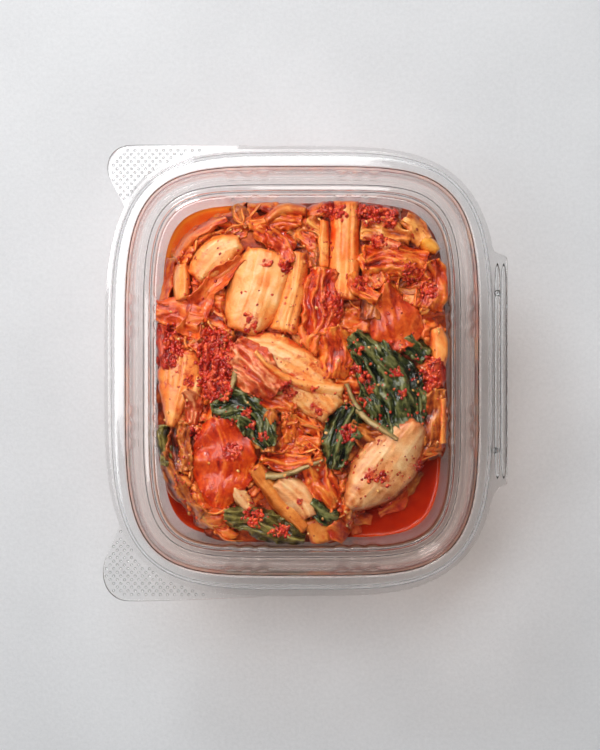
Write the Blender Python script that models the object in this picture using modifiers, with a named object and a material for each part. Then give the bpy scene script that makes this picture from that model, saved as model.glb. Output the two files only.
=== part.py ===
"""Cut cabbage kimchi in a clear hinged box, lid shut.

The box stands on its flat floor. The origin is the middle of the tub's
underside, +Z is up, +Y runs along the box's longer side and +X points at the
hinge. Four pieces: the tub, the lid, the brine and the heap of kimchi.
Sizes below are in millimetres and the model is built in metres.
"""
import math

import bmesh
import bpy
import numpy as np

MM = 0.001
GAP = 0.35

# The box: half-widths across X. Each ring is longer by this much along Y.
RIM_HALF = 79.8
WINDOW_HALF = 60.4
LONGER_BY = 11.1
RIM_SQUARENESS = 3.6
WINDOW_SQUARENESS = 5.4
PET_WALL = 0.45
RING_STEPS = 36
CLOSEST_ANGLE = 0.55
SHARP_EDGE = 38.0

# The tub's outside, from its floor up to the flange: half-width and height.
TUB_PROFILE = [
    (50.0, 0.0), (53.4, 1.6), (54.8, 5.5), (58.4, 25.0), (61.6, 39.6), (62.6, 41.0),
    (67.6, 41.6), (69.2, 43.2), (70.8, 50.4), (71.9, 52.0), (74.9, 52.0), (76.2, 49.6),
    (77.2, 49.0),
]
TUB_FLANGE_HEIGHT = 49.0

# The lid's upper side, from its raised window out to the flange.
LID_PROFILE = [
    (58.9, 57.6), (60.6, 56.4), (61.6, 51.4), (64.0, 50.6), (66.2, 45.2), (67.4, 44.6),
    (68.4, 45.4), (69.6, 50.4), (71.0, 53.9), (75.4, 53.9), (76.6, 53.2), (77.7, 50.4),
]
LID_FLANGE_HEIGHT = 50.4

# The living hinge: both flanges reach out to the fold, on the +X side, and the
# lid turns on a line along Y just past their edges.
HINGE_AXIS = (83.3, 0.0, 49.7)
HINGE_EDGE = [
    (74.6, 55.0), (76.6, 49.2), (78.6, 47.6), (82.4, 46.2), (83.0, 45.4),
    (83.0, -44.6), (82.4, -46.0), (79.0, -47.6), (77.6, -49.8), (75.4, -55.0),
]

# The finger tabs: the lid's at the upper left corner, the tub's at the lower left.
LID_TAB_EDGE = [
    (-71.6, 66.6), (-74.6, 71.8), (-78.0, 78.0), (-78.8, 82.4), (-77.6, 87.0),
    (-73.6, 90.6), (-68.5, 91.5), (-22.0, 91.0),
]
TUB_TAB_EDGE = [
    (-73.6, -61.0), (-75.6, -67.4), (-79.6, -75.6), (-80.8, -82.0), (-79.2, -88.2),
    (-74.8, -92.4), (-69.0, -93.4), (-14.0, -91.2),
]

# The brine stands in three corners, where the heap leaves the wall. Each pool
# is its angle and its spread in degrees, and its greatest width.
FLOOR_TOP = 0.9
BRINE_LEVEL = 25.0
BRINE_THINNEST = 1.2
POOLS = [(133.0, 20.0, 9.0), (232.0, 15.0, 8.0), (306.0, 19.0, 12.0)]
POOL_LEAST = 2.0
POOL_BED = BRINE_LEVEL + 1.5

# The heap: its bed, how high it may go, and the grid its pieces are laid on.
BED_EDGE = 36.5
BED_RISE = 6.0
HEAP_CEILING = 51.5
EDGE_CEILING = 40.4
CEILING_DROP = (0.86, 0.12)
CELL = 1.0
LEAF_RIPPLE = 0.9
RIPPLE_LENGTH = 13.0
CORE_ANGLES = 44
CORE_SHARES = (0.14, 0.3, 0.46, 0.62, 0.78, 0.92, 1.0)
CORE_LEVELS = (FLOOR_TOP, 5.0, 24.0)
CORE_DEPTH = 1.3

# One row for each piece that shows, from the lowest to the highest: its name,
# its kind, the middle line as (x, y) points, the full width at even steps
# along that line, and how much it domes up (+) or hollows (-) across.
PIECES = [
    ("film_top", "leaf", [(-22, 60), (0, 62)], [5, 8, 6], 1.0),
    ("tan_top", "stem", [(-15, 61), (-8, 66), (2, 66)], [4, 6, 5], 1.5),
    ("tan_gap", "leaf", [(2, 62), (9, 57)], [5, 7, 5], 1.0),
    ("folded_top", "leaf", [(-19, 58), (-11, 54), (-4, 49)], [6, 10, 8], 2.0),
    ("chili_top", "clump", [(8, 68), (18, 65)], [4, 6, 4], 2.0),
    ("chili_top_right", "clump", [(24, 67), (38, 63)], [5, 7, 5], 2.5),
    ("fold_right", "leaf", [(24, 58), (34, 57), (44, 52)], [8, 11, 9], -1.5),
    ("pale_right", "leaf", [(42, 63), (47, 59), (51, 53)], [6, 9, 7], 1.5),
    ("blob_right", "stem", [(49, 54), (56, 49)], [4, 6, 4], 1.5),
    ("ruffle_right", "leaf", [(52, 45), (55, 36), (53, 25)], [9, 13, 11], 2.0),
    ("patch_right", "leaf", [(29, 37), (28, 21)], [8, 10, 9], 1.5),
    ("fold_middle", "leaf", [(24, 48), (29, 42), (33, 35)], [7, 10, 8], 2.0),
    ("block_left", "stem", [(-50, 44), (-49, 29)], [6, 8, 7], 1.0),
    ("chili_left", "clump", [(-57, 19), (-56, 2)], [6, 9, 7], 2.0),
    ("salmon_left", "leaf", [(-60, 25), (-51, 24), (-41, 20)], [9, 13, 10], 1.5),
    ("crumble_left", "clump", [(-34, 16), (-36, 3), (-35, -11)], [9, 12, 9], 1.0),
    ("veined_left", "leaf", [(-30, 17), (-30, 4)], [5, 7, 5], 1.0),
    ("olive_left", "leaf", [(-57, -22), (-56, -39)], [4, 6, 4], 1.0),
    ("brown_left", "leaf", [(-50, -21), (-50, -31), (-48, -41)], [7, 10, 7], -1.0),
    ("curl_left", "stem", [(-51, -43), (-45, -47)], [3, 4, 3], 1.0),
    ("dark_right", "leaf", [(42, 14), (51, 5)], [7, 9, 6], 1.5),
    ("cream_right", "stem", [(55, 18), (57, 10), (56, 2)], [5, 9, 6], 1.5),
    ("chili_right", "clump", [(55, 4), (55, -7)], [7, 9, 7], 1.5),
    ("brown_right", "leaf", [(55, -7), (54, -19), (52, -31)], [9, 12, 8], 1.5),
    ("strip_right", "stem", [(58, -11), (58, -30)], [3, 3, 3], 0.5),
    ("dark_middle", "leaf", [(19, -23), (27, -27), (36, -30)], [7, 10, 8], 1.0),
    ("crinkled_low", "leaf", [(2, -37), (6, -46), (11, -58)], [11, 17, 12], 2.0),
    ("tan_low", "stem", [(-20, -39), (-9, -53), (2, -65)], [7, 9, 8], 2.0),
    ("fibre_low", "stem", [(-28, -47), (-21, -57)], [5, 7, 5], 1.5),
    ("red_low", "leaf", [(11, -63), (19, -69)], [6, 8, 5], 1.5),
    ("radish_low", "stem", [(5, -60), (9, -71)], [9, 10, 9], 0.5),
    ("green_low_right", "leaf", [(3, -54), (14, -61)], [6, 9, 5], 1.5),
    ("green_low", "leaf", [(-32, -59), (-21, -61), (-9, -66), (1, -70)], [5, 11, 13, 10, 5], 2.5),
    ("tan_middle", "leaf", [(-12, -15), (-13, -33)], [6, 9, 6], 1.5),
    ("rib_left", "stem", [(-42, -2), (-45, -14)], [4, 5, 4], 1.5),
    ("cream_left", "stem", [(-49, 9), (-50, -2), (-52, -12), (-54, -23)], [9, 18, 17, 10, 4], 2.0),
    ("cream_low", "stem", [(-10, -44), (-1, -52), (3, -60)], [9, 12, 10, 7], 2.5),
    ("glossy_left", "leaf", [(-35, -19), (-32, -32), (-33, -44), (-35, -56)], [12, 24, 26, 20, 8], 2.5),
    ("strip_olive", "stem", [(-29, 49), (-37, 41), (-41, 34)], [2, 3, 2], 0.3),
    ("cream_upper_left", "stem", [(-25, 53), (-35, 48), (-44, 38)], [7, 13, 14, 8], 1.5),
    ("rib_top", "stem", [(9, 62), (9, 42)], [4, 5, 4], 1.0),
    ("ribbed_top", "stem", [(18, 70), (17.5, 50), (17, 29)], [11, 12, 13, 12], 1.5),
    ("red_ridged", "leaf", [(9, 42), (8, 30), (8, 15)], [11, 17, 18, 13], 2.0),
    ("peach_middle", "stem", [(-1, 49), (-3, 35), (-8, 16)], [6, 9, 11, 12], 2.0),
    ("cream_big", "stem", [(-15, 50), (-18, 34), (-25, 16)], [15, 22, 25, 22, 12], 3.0),
    ("trough_left", "leaf", [(-24, 46), (-36, 36), (-42, 26), (-47, 14)], [4, 8, 10, 9], -2.5),
    ("roll_right", "leaf", [(25, 45), (37, 46), (51, 43)], [12, 15, 12], 4.0),
    ("salmon_right", "leaf", [(34, 36), (36, 27), (39, 17), (41, 9)], [4, 12, 21, 21, 10], 2.5),
    ("folded_middle", "leaf", [(13, 18), (14, 8), (13, -3)], [9, 14, 14, 9], 3.0),
    ("green_left", "leaf", [(-38, -15), (-28, -14), (-21, -18), (-16, -29)], [5, 10, 12, 10, 5], 2.0),
    ("wrinkled_middle", "leaf", [(-21, -7), (-2, -14)], [8, 10, 8], 1.5),
    ("green_right", "leaf", [(20, 15), (28, 6), (36, -6), (40, -20), (41, -28)], [7, 17, 27, 23, 10], 3.0),
    ("green_middle", "leaf", [(20, -16), (16, -26), (12, -39)], [7, 12, 11, 5], 2.0),
    ("cream_lower_right", "stem", [(48, -21), (38, -34), (28, -46), (19, -56)], [8, 19, 25, 24, 16, 6], 3.5),
    ("leaf_central", "stem", [(-27, 5), (-14, 3), (0, -4), (13, -17)], [14, 24, 26, 24, 20, 12], 3.5),
    ("stalk_left", "stem", [(-26, 9), (-28, -4), (-32, -13)], [3, 3, 2], 0.5),
    ("stalk_low", "stem", [(-15, -43), (-6, -42), (9, -36)], [3, 3, 2], 0.5),
    ("stalk_right", "stem", [(18, -5), (23, -16), (30, -22), (39, -28)], [2, 3, 3, 2], 0.5),
]
THICKNESS = {"stem": 3.2, "leaf": 1.5, "clump": 3.0}
SINK = {"stem": 1.0, "leaf": 0.3, "clump": 1.6}

# How a piece lies: how much of the bend under it it takes up, the share of the
# points under it that it rises above, how its dome is shared between middle and
# edges, how thin its edges get, and the least thickness that the lid leaves it.
BEND_KEPT = 0.7
RESTING_SHARE = 72
DOME_MIDDLE = 0.6
EDGE_THINNING = 0.45
LEAST_THICKNESS = 0.6
DIRECTION_STEP = 0.02
STEP_ALONG = 8.0
STEP_ACROSS = 8.5
HEAP_TRIANGLES = 6500


def clear_scene():
    for item in list(bpy.data.objects):
        bpy.data.objects.remove(item, do_unlink=True)


def new_collection(name):
    group = bpy.data.collections.new(name)
    bpy.context.scene.collection.children.link(group)
    return group


def principled(name, colour, roughness, alpha=1.0):
    surface = bpy.data.materials.new(name)
    surface.use_nodes = True
    shader = surface.node_tree.nodes["Principled BSDF"]
    shader.inputs["Base Color"].default_value = (*colour, 1.0)
    shader.inputs["Roughness"].default_value = roughness
    shader.inputs["Metallic"].default_value = 0.0
    shader.inputs["Alpha"].default_value = alpha
    return surface


def ring_reach(angle, half):
    """How far a ring of the given half-width reaches from the middle at an angle."""
    growth = (WINDOW_SQUARENESS - RIM_SQUARENESS) / (RIM_HALF - WINDOW_HALF)
    power = RIM_SQUARENESS + (RIM_HALF - half) * growth
    across = abs(math.cos(angle)) / half
    along = abs(math.sin(angle)) / (half + LONGER_BY)
    return (across**power + along**power) ** (-1.0 / power)


def edge_reach(angle, edge):
    """How far an open outline reaches at an angle, or 0 where the ray misses it."""
    dx, dy = math.cos(angle), math.sin(angle)
    best = 0.0
    for (ax, ay), (bx, by) in zip(edge, edge[1:]):
        ex, ey = bx - ax, by - ay
        cross = dx * ey - dy * ex
        if abs(cross) < 1e-9:
            continue
        along_ray = (ax * ey - ay * ex) / cross
        along_edge = (ax * dy - ay * dx) / cross
        if along_ray > 0.0 and 0.0 <= along_edge <= 1.0:
            best = max(best, along_ray)
    return best


def flange_angles():
    """Even steps round the rim, closer at its corners, and one at each edge point."""
    angles = []
    for step in range(RING_STEPS):
        turn = 2.0 * math.pi * step / RING_STEPS
        power = 2.0 / RIM_SQUARENESS
        x = RIM_HALF * math.copysign(abs(math.cos(turn)) ** power, math.cos(turn))
        y = (RIM_HALF + LONGER_BY) * math.copysign(abs(math.sin(turn)) ** power, math.sin(turn))
        angles.append(math.atan2(y, x) % (2.0 * math.pi))
    for x, y in LID_TAB_EDGE + TUB_TAB_EDGE + HINGE_EDGE:
        angles.append(math.atan2(y, x) % (2.0 * math.pi))
    angles.sort()
    kept = [angles[0]]
    for angle in angles[1:]:
        if angle - kept[-1] > math.radians(CLOSEST_ANGLE):
            kept.append(angle)
    return kept


def box_shell(name, profile, flange_height, tab_edge, faces_up, origin=(0.0, 0.0, 0.0)):
    """A lofted sheet from the middle out to the flange's edge, then its wall."""
    angles = flange_angles()
    sheet = bmesh.new()

    def ring(reaches, height):
        return [
            sheet.verts.new((
                (reach * math.cos(angle) - origin[0]) * MM,
                (reach * math.sin(angle) - origin[1]) * MM,
                (height - origin[2]) * MM))
            for angle, reach in zip(angles, reaches)
        ]

    rings = [ring([ring_reach(angle, half) for angle in angles], height) for half, height in profile]
    rings.append(ring(
        [max(ring_reach(angle, RIM_HALF), edge_reach(angle, tab_edge), edge_reach(angle, HINGE_EDGE))
         for angle in angles],
        flange_height))
    sheet.faces.new(rings[0])
    count = len(angles)
    for inner, outer in zip(rings, rings[1:]):
        for i in range(count):
            j = (i + 1) % count
            sheet.faces.new((inner[i], outer[i], outer[j], inner[j]))
    if not faces_up:
        bmesh.ops.reverse_faces(sheet, faces=sheet.faces[:])
    mesh = bpy.data.meshes.new(name)
    sheet.to_mesh(mesh)
    sheet.free()
    mesh.shade_smooth()
    mesh.set_sharp_from_angle(angle=math.radians(SHARP_EDGE))
    shell = bpy.data.objects.new(name, mesh)
    shell.location = [c * MM for c in origin]
    wall = shell.modifiers.new("Wall", "SOLIDIFY")
    wall.thickness = PET_WALL * MM
    wall.offset = -1.0
    wall.use_even_offset = True
    wall.use_quality_normals = True
    return shell


def profile_half(height):
    """The tub's outer half-width at a height below its ledge, taken straight past its foot."""
    foot = (TUB_PROFILE[0][0], FLOOR_TOP)
    levels = [level for half, level in [foot] + TUB_PROFILE[2:5]]
    halves = [half for half, level in [foot] + TUB_PROFILE[2:5]]
    return float(np.interp(height, levels, halves))


def inside_reach(angle, height):
    """How far the room inside the tub reaches, less the gap kept to its wall."""
    return ring_reach(angle, profile_half(height)) - PET_WALL - 2.0 * GAP


def pool_width(angle):
    """How far the heap stands back from the wall at an angle, for the brine."""
    turn = math.degrees(angle) % 360.0
    width = 0.0
    for middle, spread, deepest in POOLS:
        away = abs((turn - middle + 180.0) % 360.0 - 180.0)
        width = max(width, deepest * math.exp(-((away / spread) ** 4)))
    return width


def core_reach(angle, height):
    return inside_reach(angle, height) - BRINE_THINNEST - GAP - pool_width(angle)


def bed_height(x, y):
    angle = math.atan2(y, x)
    share = math.hypot(x, y) / inside_reach(angle, BED_EDGE)
    if math.hypot(x, y) > core_reach(angle, BRINE_LEVEL) + GAP:
        if pool_width(angle) > POOL_LEAST:
            return POOL_BED
    return BED_EDGE + BED_RISE * max(0.0, 1.0 - share * share)


def ceiling(x, y):
    """The highest a piece may reach, lower beside the wall, under the lid's step."""
    share = math.hypot(x, y) / inside_reach(math.atan2(y, x), EDGE_CEILING)
    start, run = CEILING_DROP
    drop = min(1.0, max(0.0, (share - start) / run))
    return HEAP_CEILING + (EDGE_CEILING - HEAP_CEILING) * drop


def between(values, share):
    """A smooth value at a share of the way along a row of values."""
    place = share * (len(values) - 1)
    index = min(int(place), len(values) - 2)
    part = place - index
    before = values[max(index - 1, 0)]
    start, end = values[index], values[index + 1]
    after = values[min(index + 2, len(values) - 1)]
    return 0.5 * (
        2.0 * start
        + (end - before) * part
        + (2.0 * before - 5.0 * start + 4.0 * end - after) * part**2
        + (3.0 * start - before - 3.0 * end + after) * part**3
    )


class Heap:
    """The running surface that each piece is laid on."""

    def __init__(self):
        self.half_x = math.ceil(RIM_HALF)
        self.half_y = math.ceil(RIM_HALF + LONGER_BY)
        self.top = np.array([
            [bed_height(x * CELL, y * CELL) for x in range(-self.half_x, self.half_x + 1)]
            for y in range(-self.half_y, self.half_y + 1)
        ])

    def height(self, x, y):
        column = x / CELL + self.half_x
        row = y / CELL + self.half_y
        i, j = int(row), int(column)
        a, b = row - i, column - j
        patch = self.top[i:i + 2, j:j + 2]
        low = patch[0, 0] * (1 - b) + patch[0, 1] * b
        high = patch[1, 0] * (1 - b) + patch[1, 1] * b
        return low * (1 - a) + high * a

    def raise_to(self, x, y, height):
        row = int(round(y / CELL)) + self.half_y
        column = int(round(x / CELL)) + self.half_x
        self.top[row, column] = max(self.top[row, column], height)


def place_on(path, widths, share, across):
    """A point of the piece's plan, at a share along it and -1 to 1 across it."""
    xs = [p[0] for p in path]
    ys = [p[1] for p in path]
    x, y = between(xs, share), between(ys, share)
    ahead, behind = min(share + DIRECTION_STEP, 1.0), max(share - DIRECTION_STEP, 0.0)
    dx = between(xs, ahead) - between(xs, behind)
    dy = between(ys, ahead) - between(ys, behind)
    size = math.hypot(dx, dy)
    half = 0.5 * between(widths, share)
    return x - dy / size * half * across, y + dx / size * half * across


def resting_surface(heap, path, widths, sink):
    """A stiff curved surface through the heap under the piece, raised to lie on it."""
    rows, heights = [], []
    for along in np.linspace(0.0, 1.0, 9):
        for across in np.linspace(-1.0, 1.0, 5):
            x, y = place_on(path, widths, along, across)
            u = 2.0 * along - 1.0
            rows.append((1.0, u, across, u * u, across * across, u * across))
            heights.append(heap.height(x, y))
    rows, heights = np.array(rows), np.array(heights)
    factors = np.linalg.lstsq(rows, heights, rcond=None)[0]
    factors[3:] *= BEND_KEPT
    factors[0] += np.percentile(heights - rows @ factors, RESTING_SHARE) - sink
    return factors


def kept_inside(x, y, height):
    angle = math.atan2(y, x)
    reach = inside_reach(angle, height)
    distance = math.hypot(x, y)
    if distance > reach:
        return x * reach / distance, y * reach / distance
    return x, y


def piece_faces(heap, path, widths, dome, kind, along_steps, across_steps):
    """The upper and lower points of one piece, laid on the heap."""
    factors = resting_surface(heap, path, widths, SINK[kind])
    length = sum(math.dist(a, b) for a, b in zip(path, path[1:]))
    ripple = LEAF_RIPPLE if kind == "leaf" else 0.0
    upper, lower = [], []
    for i in range(along_steps + 1):
        share = i / along_steps
        upper.append([])
        lower.append([])
        for j in range(across_steps + 1):
            across = 2.0 * j / across_steps - 1.0
            x, y = place_on(path, widths, share, across)
            u = 2.0 * share - 1.0
            base = float(np.dot(factors, (1.0, u, across, u * u, across * across, u * across)))
            base += dome * (DOME_MIDDLE - across * across)
            wave = math.sin(2.0 * math.pi * share * length / RIPPLE_LENGTH + 1.3 * across)
            base += ripple * wave * (0.4 + 0.6 * abs(across))
            thick = THICKNESS[kind] * (1.0 - EDGE_THINNING * max(abs(across), abs(u)) ** 4)
            top = min(base + thick, ceiling(x, y))
            low = max(top - thick, BRINE_LEVEL + 2.0 * GAP)
            top = max(top, low + LEAST_THICKNESS * thick)
            x, y = kept_inside(x, y, low)
            upper[-1].append((x, y, top))
            lower[-1].append((x, y, low))
    return upper, lower


def lay_piece(heap, name, kind, path, widths, dome):
    """One piece as a closed mesh, with the heap raised under it afterwards."""
    length = sum(math.dist(a, b) for a, b in zip(path, path[1:]))
    along_steps = max(3, round(length / STEP_ALONG))
    across_steps = max(2, round(max(widths) / STEP_ACROSS))
    upper, lower = piece_faces(heap, path, widths, dome, kind, along_steps, across_steps)
    solid = bmesh.new()
    tops = [[solid.verts.new([c * MM for c in p]) for p in row] for row in upper]
    lows = [[solid.verts.new([c * MM for c in p]) for p in row] for row in lower]
    for i in range(along_steps):
        for j in range(across_steps):
            corners = (i, j), (i + 1, j), (i + 1, j + 1), (i, j + 1)
            a, b, c, d = [tops[m][n] for m, n in corners]
            solid.faces.new((a, c, b))
            solid.faces.new((a, d, c))
            a, b, c, d = [lows[m][n] for m, n in corners]
            solid.faces.new((a, b, c))
            solid.faces.new((a, c, d))
    border = [(i, 0) for i in range(along_steps)]
    border += [(along_steps, j) for j in range(across_steps)]
    border += [(i, across_steps) for i in range(along_steps, 0, -1)]
    border += [(0, j) for j in range(across_steps, 0, -1)]
    for (i, j), (m, n) in zip(border, border[1:] + border[:1]):
        solid.faces.new((tops[i][j], tops[m][n], lows[m][n], lows[i][j]))
    bmesh.ops.recalc_face_normals(solid, faces=solid.faces[:])
    bmesh.ops.triangulate(solid, faces=[f for f in solid.faces if len(f.verts) > 3])
    mesh = bpy.data.meshes.new(name)
    solid.to_mesh(mesh)
    solid.free()

    fine_along, fine_across = max(8, round(length)), max(6, round(max(widths)))
    upper, _ = piece_faces(heap, path, widths, dome, kind, fine_along, fine_across)
    for row in upper:
        for x, y, height in row:
            heap.raise_to(x, y, height)
    return bpy.data.objects.new(name, mesh)


def core_solid(heap):
    """The packed middle of the heap, just under the pieces that show."""
    angles = [2.0 * math.pi * i / CORE_ANGLES for i in range(CORE_ANGLES)]
    solid = bmesh.new()
    rings = []
    for level in CORE_LEVELS:
        reaches = [core_reach(angle, level) for angle in angles]
        rings.append([
            solid.verts.new((r * math.cos(a) * MM, r * math.sin(a) * MM, level * MM))
            for a, r in zip(angles, reaches)
        ])
    for share in reversed(CORE_SHARES):
        ring = []
        for angle in angles:
            reach = share * core_reach(angle, BRINE_LEVEL)
            x, y = reach * math.cos(angle), reach * math.sin(angle)
            near = [heap.height(x + dx, y + dy) for dx in (-2, 0, 2) for dy in (-2, 0, 2)]
            ring.append(solid.verts.new((x * MM, y * MM, (min(near) - CORE_DEPTH) * MM)))
        rings.append(ring)
    solid.faces.new(rings[0])
    solid.faces.new(list(reversed(rings[-1])))
    for lower, higher in zip(rings, rings[1:]):
        for i in range(CORE_ANGLES):
            j = (i + 1) % CORE_ANGLES
            solid.faces.new((lower[i], lower[j], higher[j], higher[i]))
    bmesh.ops.recalc_face_normals(solid, faces=solid.faces[:])
    bmesh.ops.triangulate(solid, faces=solid.faces[:])
    mesh = bpy.data.meshes.new("kimchi_heap")
    solid.to_mesh(mesh)
    solid.free()
    return bpy.data.objects.new("kimchi_heap", mesh)


def largest_shell(mesh):
    """Keep the outer skin: sealed hollows are filled and loose scraps dropped."""
    solid = bmesh.new()
    solid.from_mesh(mesh)
    unseen = set(solid.verts)
    shells = []
    while unseen:
        stack = [unseen.pop()]
        shell = set(stack)
        while stack:
            for edge in stack.pop().link_edges:
                for vert in edge.verts:
                    if vert in unseen:
                        unseen.remove(vert)
                        shell.add(vert)
                        stack.append(vert)
        shells.append(shell)
    shells.sort(key=len, reverse=True)
    for shell in shells[1:]:
        bmesh.ops.delete(solid, geom=list(shell), context="VERTS")
    bmesh.ops.triangulate(solid, faces=[f for f in solid.faces if len(f.verts) > 3])
    solid.to_mesh(mesh)
    solid.free()


def kimchi_heap(parts, guides):
    heap = Heap()
    for name, kind, path, widths, dome in PIECES:
        guides.objects.link(lay_piece(heap, name, kind, path, widths, dome))
    core = core_solid(heap)
    parts.objects.link(core)
    union = core.modifiers.new("Fused", "BOOLEAN")
    union.operation = "UNION"
    union.operand_type = "COLLECTION"
    union.collection = guides
    union.solver = "MANIFOLD"
    fused = bpy.data.meshes.new_from_object(core.evaluated_get(bpy.context.evaluated_depsgraph_get()))
    core.modifiers.clear()
    core.data = fused
    fused.name = "kimchi_heap"
    for piece in list(guides.objects):
        bpy.data.objects.remove(piece, do_unlink=True)
    largest_shell(fused)
    thinned = core.modifiers.new("Slivers", "DECIMATE")
    thinned.ratio = min(1.0, HEAP_TRIANGLES / len(fused.polygons))
    return core


def brine_ring():
    """The liquid between the heap and the wall, from the floor to its level."""
    angles = [2.0 * math.pi * i / CORE_ANGLES for i in range(CORE_ANGLES)]
    solid = bmesh.new()

    def ring(level, reach_at):
        reaches = [reach_at(a, level) for a in angles]
        return [
            solid.verts.new((reach * math.cos(a) * MM, reach * math.sin(a) * MM, level * MM))
            for a, reach in zip(angles, reaches)
        ]

    def heap_reach(angle, level):
        return core_reach(angle, level) + GAP

    levels = (FLOOR_TOP, CORE_LEVELS[1], BRINE_LEVEL)
    rings = [ring(level, inside_reach) for level in levels]
    rings += [ring(level, heap_reach) for level in reversed(levels)]
    for one, other in zip(rings, rings[1:] + rings[:1]):
        for i in range(CORE_ANGLES):
            j = (i + 1) % CORE_ANGLES
            solid.faces.new((one[i], one[j], other[j], other[i]))
    bmesh.ops.recalc_face_normals(solid, faces=solid.faces[:])
    mesh = bpy.data.meshes.new("brine")
    solid.to_mesh(mesh)
    solid.free()
    return bpy.data.objects.new("brine", mesh)


def main():
    clear_scene()
    parts = new_collection("kimchi_box")
    guides = new_collection("heap_pieces")

    clear_pet = principled("clear_pet", (0.92, 0.94, 0.95), 0.05, 0.25)
    tub = box_shell("tub", TUB_PROFILE, TUB_FLANGE_HEIGHT, TUB_TAB_EDGE, faces_up=False)
    lid = box_shell("lid", LID_PROFILE, LID_FLANGE_HEIGHT, LID_TAB_EDGE, faces_up=True, origin=HINGE_AXIS)
    for shell in (tub, lid):
        shell.data.materials.append(clear_pet)
        parts.objects.link(shell)

    brine = brine_ring()
    brine.data.materials.append(principled("chili_brine", (0.55, 0.06, 0.01), 0.08))
    parts.objects.link(brine)

    heap = kimchi_heap(parts, guides)
    heap.data.materials.clear()
    heap.data.materials.append(principled("seasoned_cabbage", (0.75, 0.22, 0.06), 0.3))
    bpy.data.collections.remove(guides)


main()
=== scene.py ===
"""Cut cabbage kimchi in a clear hinged deli box, seen from straight above.

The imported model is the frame. Each section makes one part of the box or of the
food, with its sizes, its colours and its fixing. Sizes are in millimetres.
"""
import math

import bmesh
import bpy
import numpy as np
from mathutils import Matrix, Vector


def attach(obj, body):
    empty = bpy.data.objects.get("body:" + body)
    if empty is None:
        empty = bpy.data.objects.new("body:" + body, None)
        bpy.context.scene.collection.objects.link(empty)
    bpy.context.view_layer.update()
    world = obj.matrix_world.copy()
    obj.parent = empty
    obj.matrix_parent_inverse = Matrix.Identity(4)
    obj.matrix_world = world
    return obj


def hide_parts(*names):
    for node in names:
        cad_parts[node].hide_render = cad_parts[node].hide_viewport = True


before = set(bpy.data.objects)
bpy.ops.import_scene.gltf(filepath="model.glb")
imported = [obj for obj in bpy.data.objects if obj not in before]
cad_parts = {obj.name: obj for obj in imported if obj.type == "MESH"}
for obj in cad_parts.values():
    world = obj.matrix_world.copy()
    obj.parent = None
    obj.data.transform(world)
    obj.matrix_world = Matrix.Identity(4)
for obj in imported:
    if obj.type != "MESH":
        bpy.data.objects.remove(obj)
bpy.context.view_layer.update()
MM = 0.001
TUB_BODY = "tub_body"
LID_BODY = "lid_body"


# The camera
# The box was photographed from straight above with a short telephoto lens,
# far enough away that the tub's walls show only as thin rings.
RIM_HEIGHT = 50.0
CAMERA_ABOVE_RIM = 715.0
VIEW_MIDDLE = (-0.8, -1.6)
CAMERA_LENS = 85.0

camera_data = bpy.data.cameras.new("camera")
camera_data.lens = CAMERA_LENS
camera_data.sensor_width = 36.0
camera = bpy.data.objects.new("camera", camera_data)
camera.location = (VIEW_MIDDLE[0] * MM, VIEW_MIDDLE[1] * MM, (RIM_HEIGHT + CAMERA_ABOVE_RIM) * MM)
bpy.context.scene.collection.objects.link(camera)
bpy.context.scene.camera = camera
bpy.context.scene.view_settings.view_transform = "Standard"


# The tabletop and the light
# A pale plaster surface under a large diffusing panel at the upper left, high
# enough that the lid's window doesn't mirror it. A small lamp beside it and a
# dim fill all round soften the shade.
TABLE_HALF = 900.0
TABLE_PALE = "#F2F3F5"
TABLE_SHADE = "#E3E4E6"
PLASTER_GRAIN = 1.6
PLASTER_CLOUD = 70.0
AIM_HEIGHT = 30.0
LAMPS = {
    "panel": {"place": (-402.0, 402.0, 1300.0), "wide": 2000.0, "tall": 600.0, "watts": 14.8},
    "side_light": {"place": (-380.0, 680.0, 520.0), "wide": 300.0, "tall": 300.0, "watts": 3.4},
}
ZENITH_LIGHT = 0.02
HORIZON_LIGHT = 0.26


def linear(code):
    """An sRGB hex colour as linear red, green, blue and a full alpha."""
    parts = [int(code[i:i + 2], 16) / 255.0 for i in (1, 3, 5)]
    return [c / 12.92 if c <= 0.04045 else ((c + 0.055) / 1.055) ** 2.4 for c in parts] + [1.0]


def add_node(tree, kind, settings=None, links=None):
    """A node with its settings and input values; links give (node, output) for an input."""
    node = tree.nodes.new(kind)
    for name, value in (settings or {}).items():
        if isinstance(name, int) or name in node.inputs.keys():
            node.inputs[name].default_value = value
        else:
            setattr(node, name, value)
    for name, (source, output) in (links or {}).items():
        tree.links.new(source.outputs[output], node.inputs[name])
    return node


def new_material(name):
    """An empty node material and its tree."""
    surface = bpy.data.materials.new(name)
    surface.use_nodes = True
    surface.node_tree.nodes.clear()
    return surface, surface.node_tree


def link_surface(tree, shader):
    output = add_node(tree, "ShaderNodeOutputMaterial")
    tree.links.new(shader.outputs[0], output.inputs["Surface"])


def finish_surface(tree, settings, links):
    """The Principled shader that ends a material."""
    link_surface(tree, add_node(tree, "ShaderNodeBsdfPrincipled", settings, links))


def noise_texture(tree, size, settings=None):
    """Noise in the object's own space, with bumps of about the given size in millimetres."""
    where = add_node(tree, "ShaderNodeTexCoord")
    return add_node(tree, "ShaderNodeTexNoise", {"Scale": 1.0 / (size * MM), **(settings or {})},
                    {"Vector": (where, "Object")})


def fine_relief(tree, texture, strength, height):
    """A bump from a noise texture, with its full height in millimetres."""
    return add_node(tree, "ShaderNodeBump", {"Strength": strength, "Distance": height * MM},
                    {"Height": (texture, "Fac")})


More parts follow.
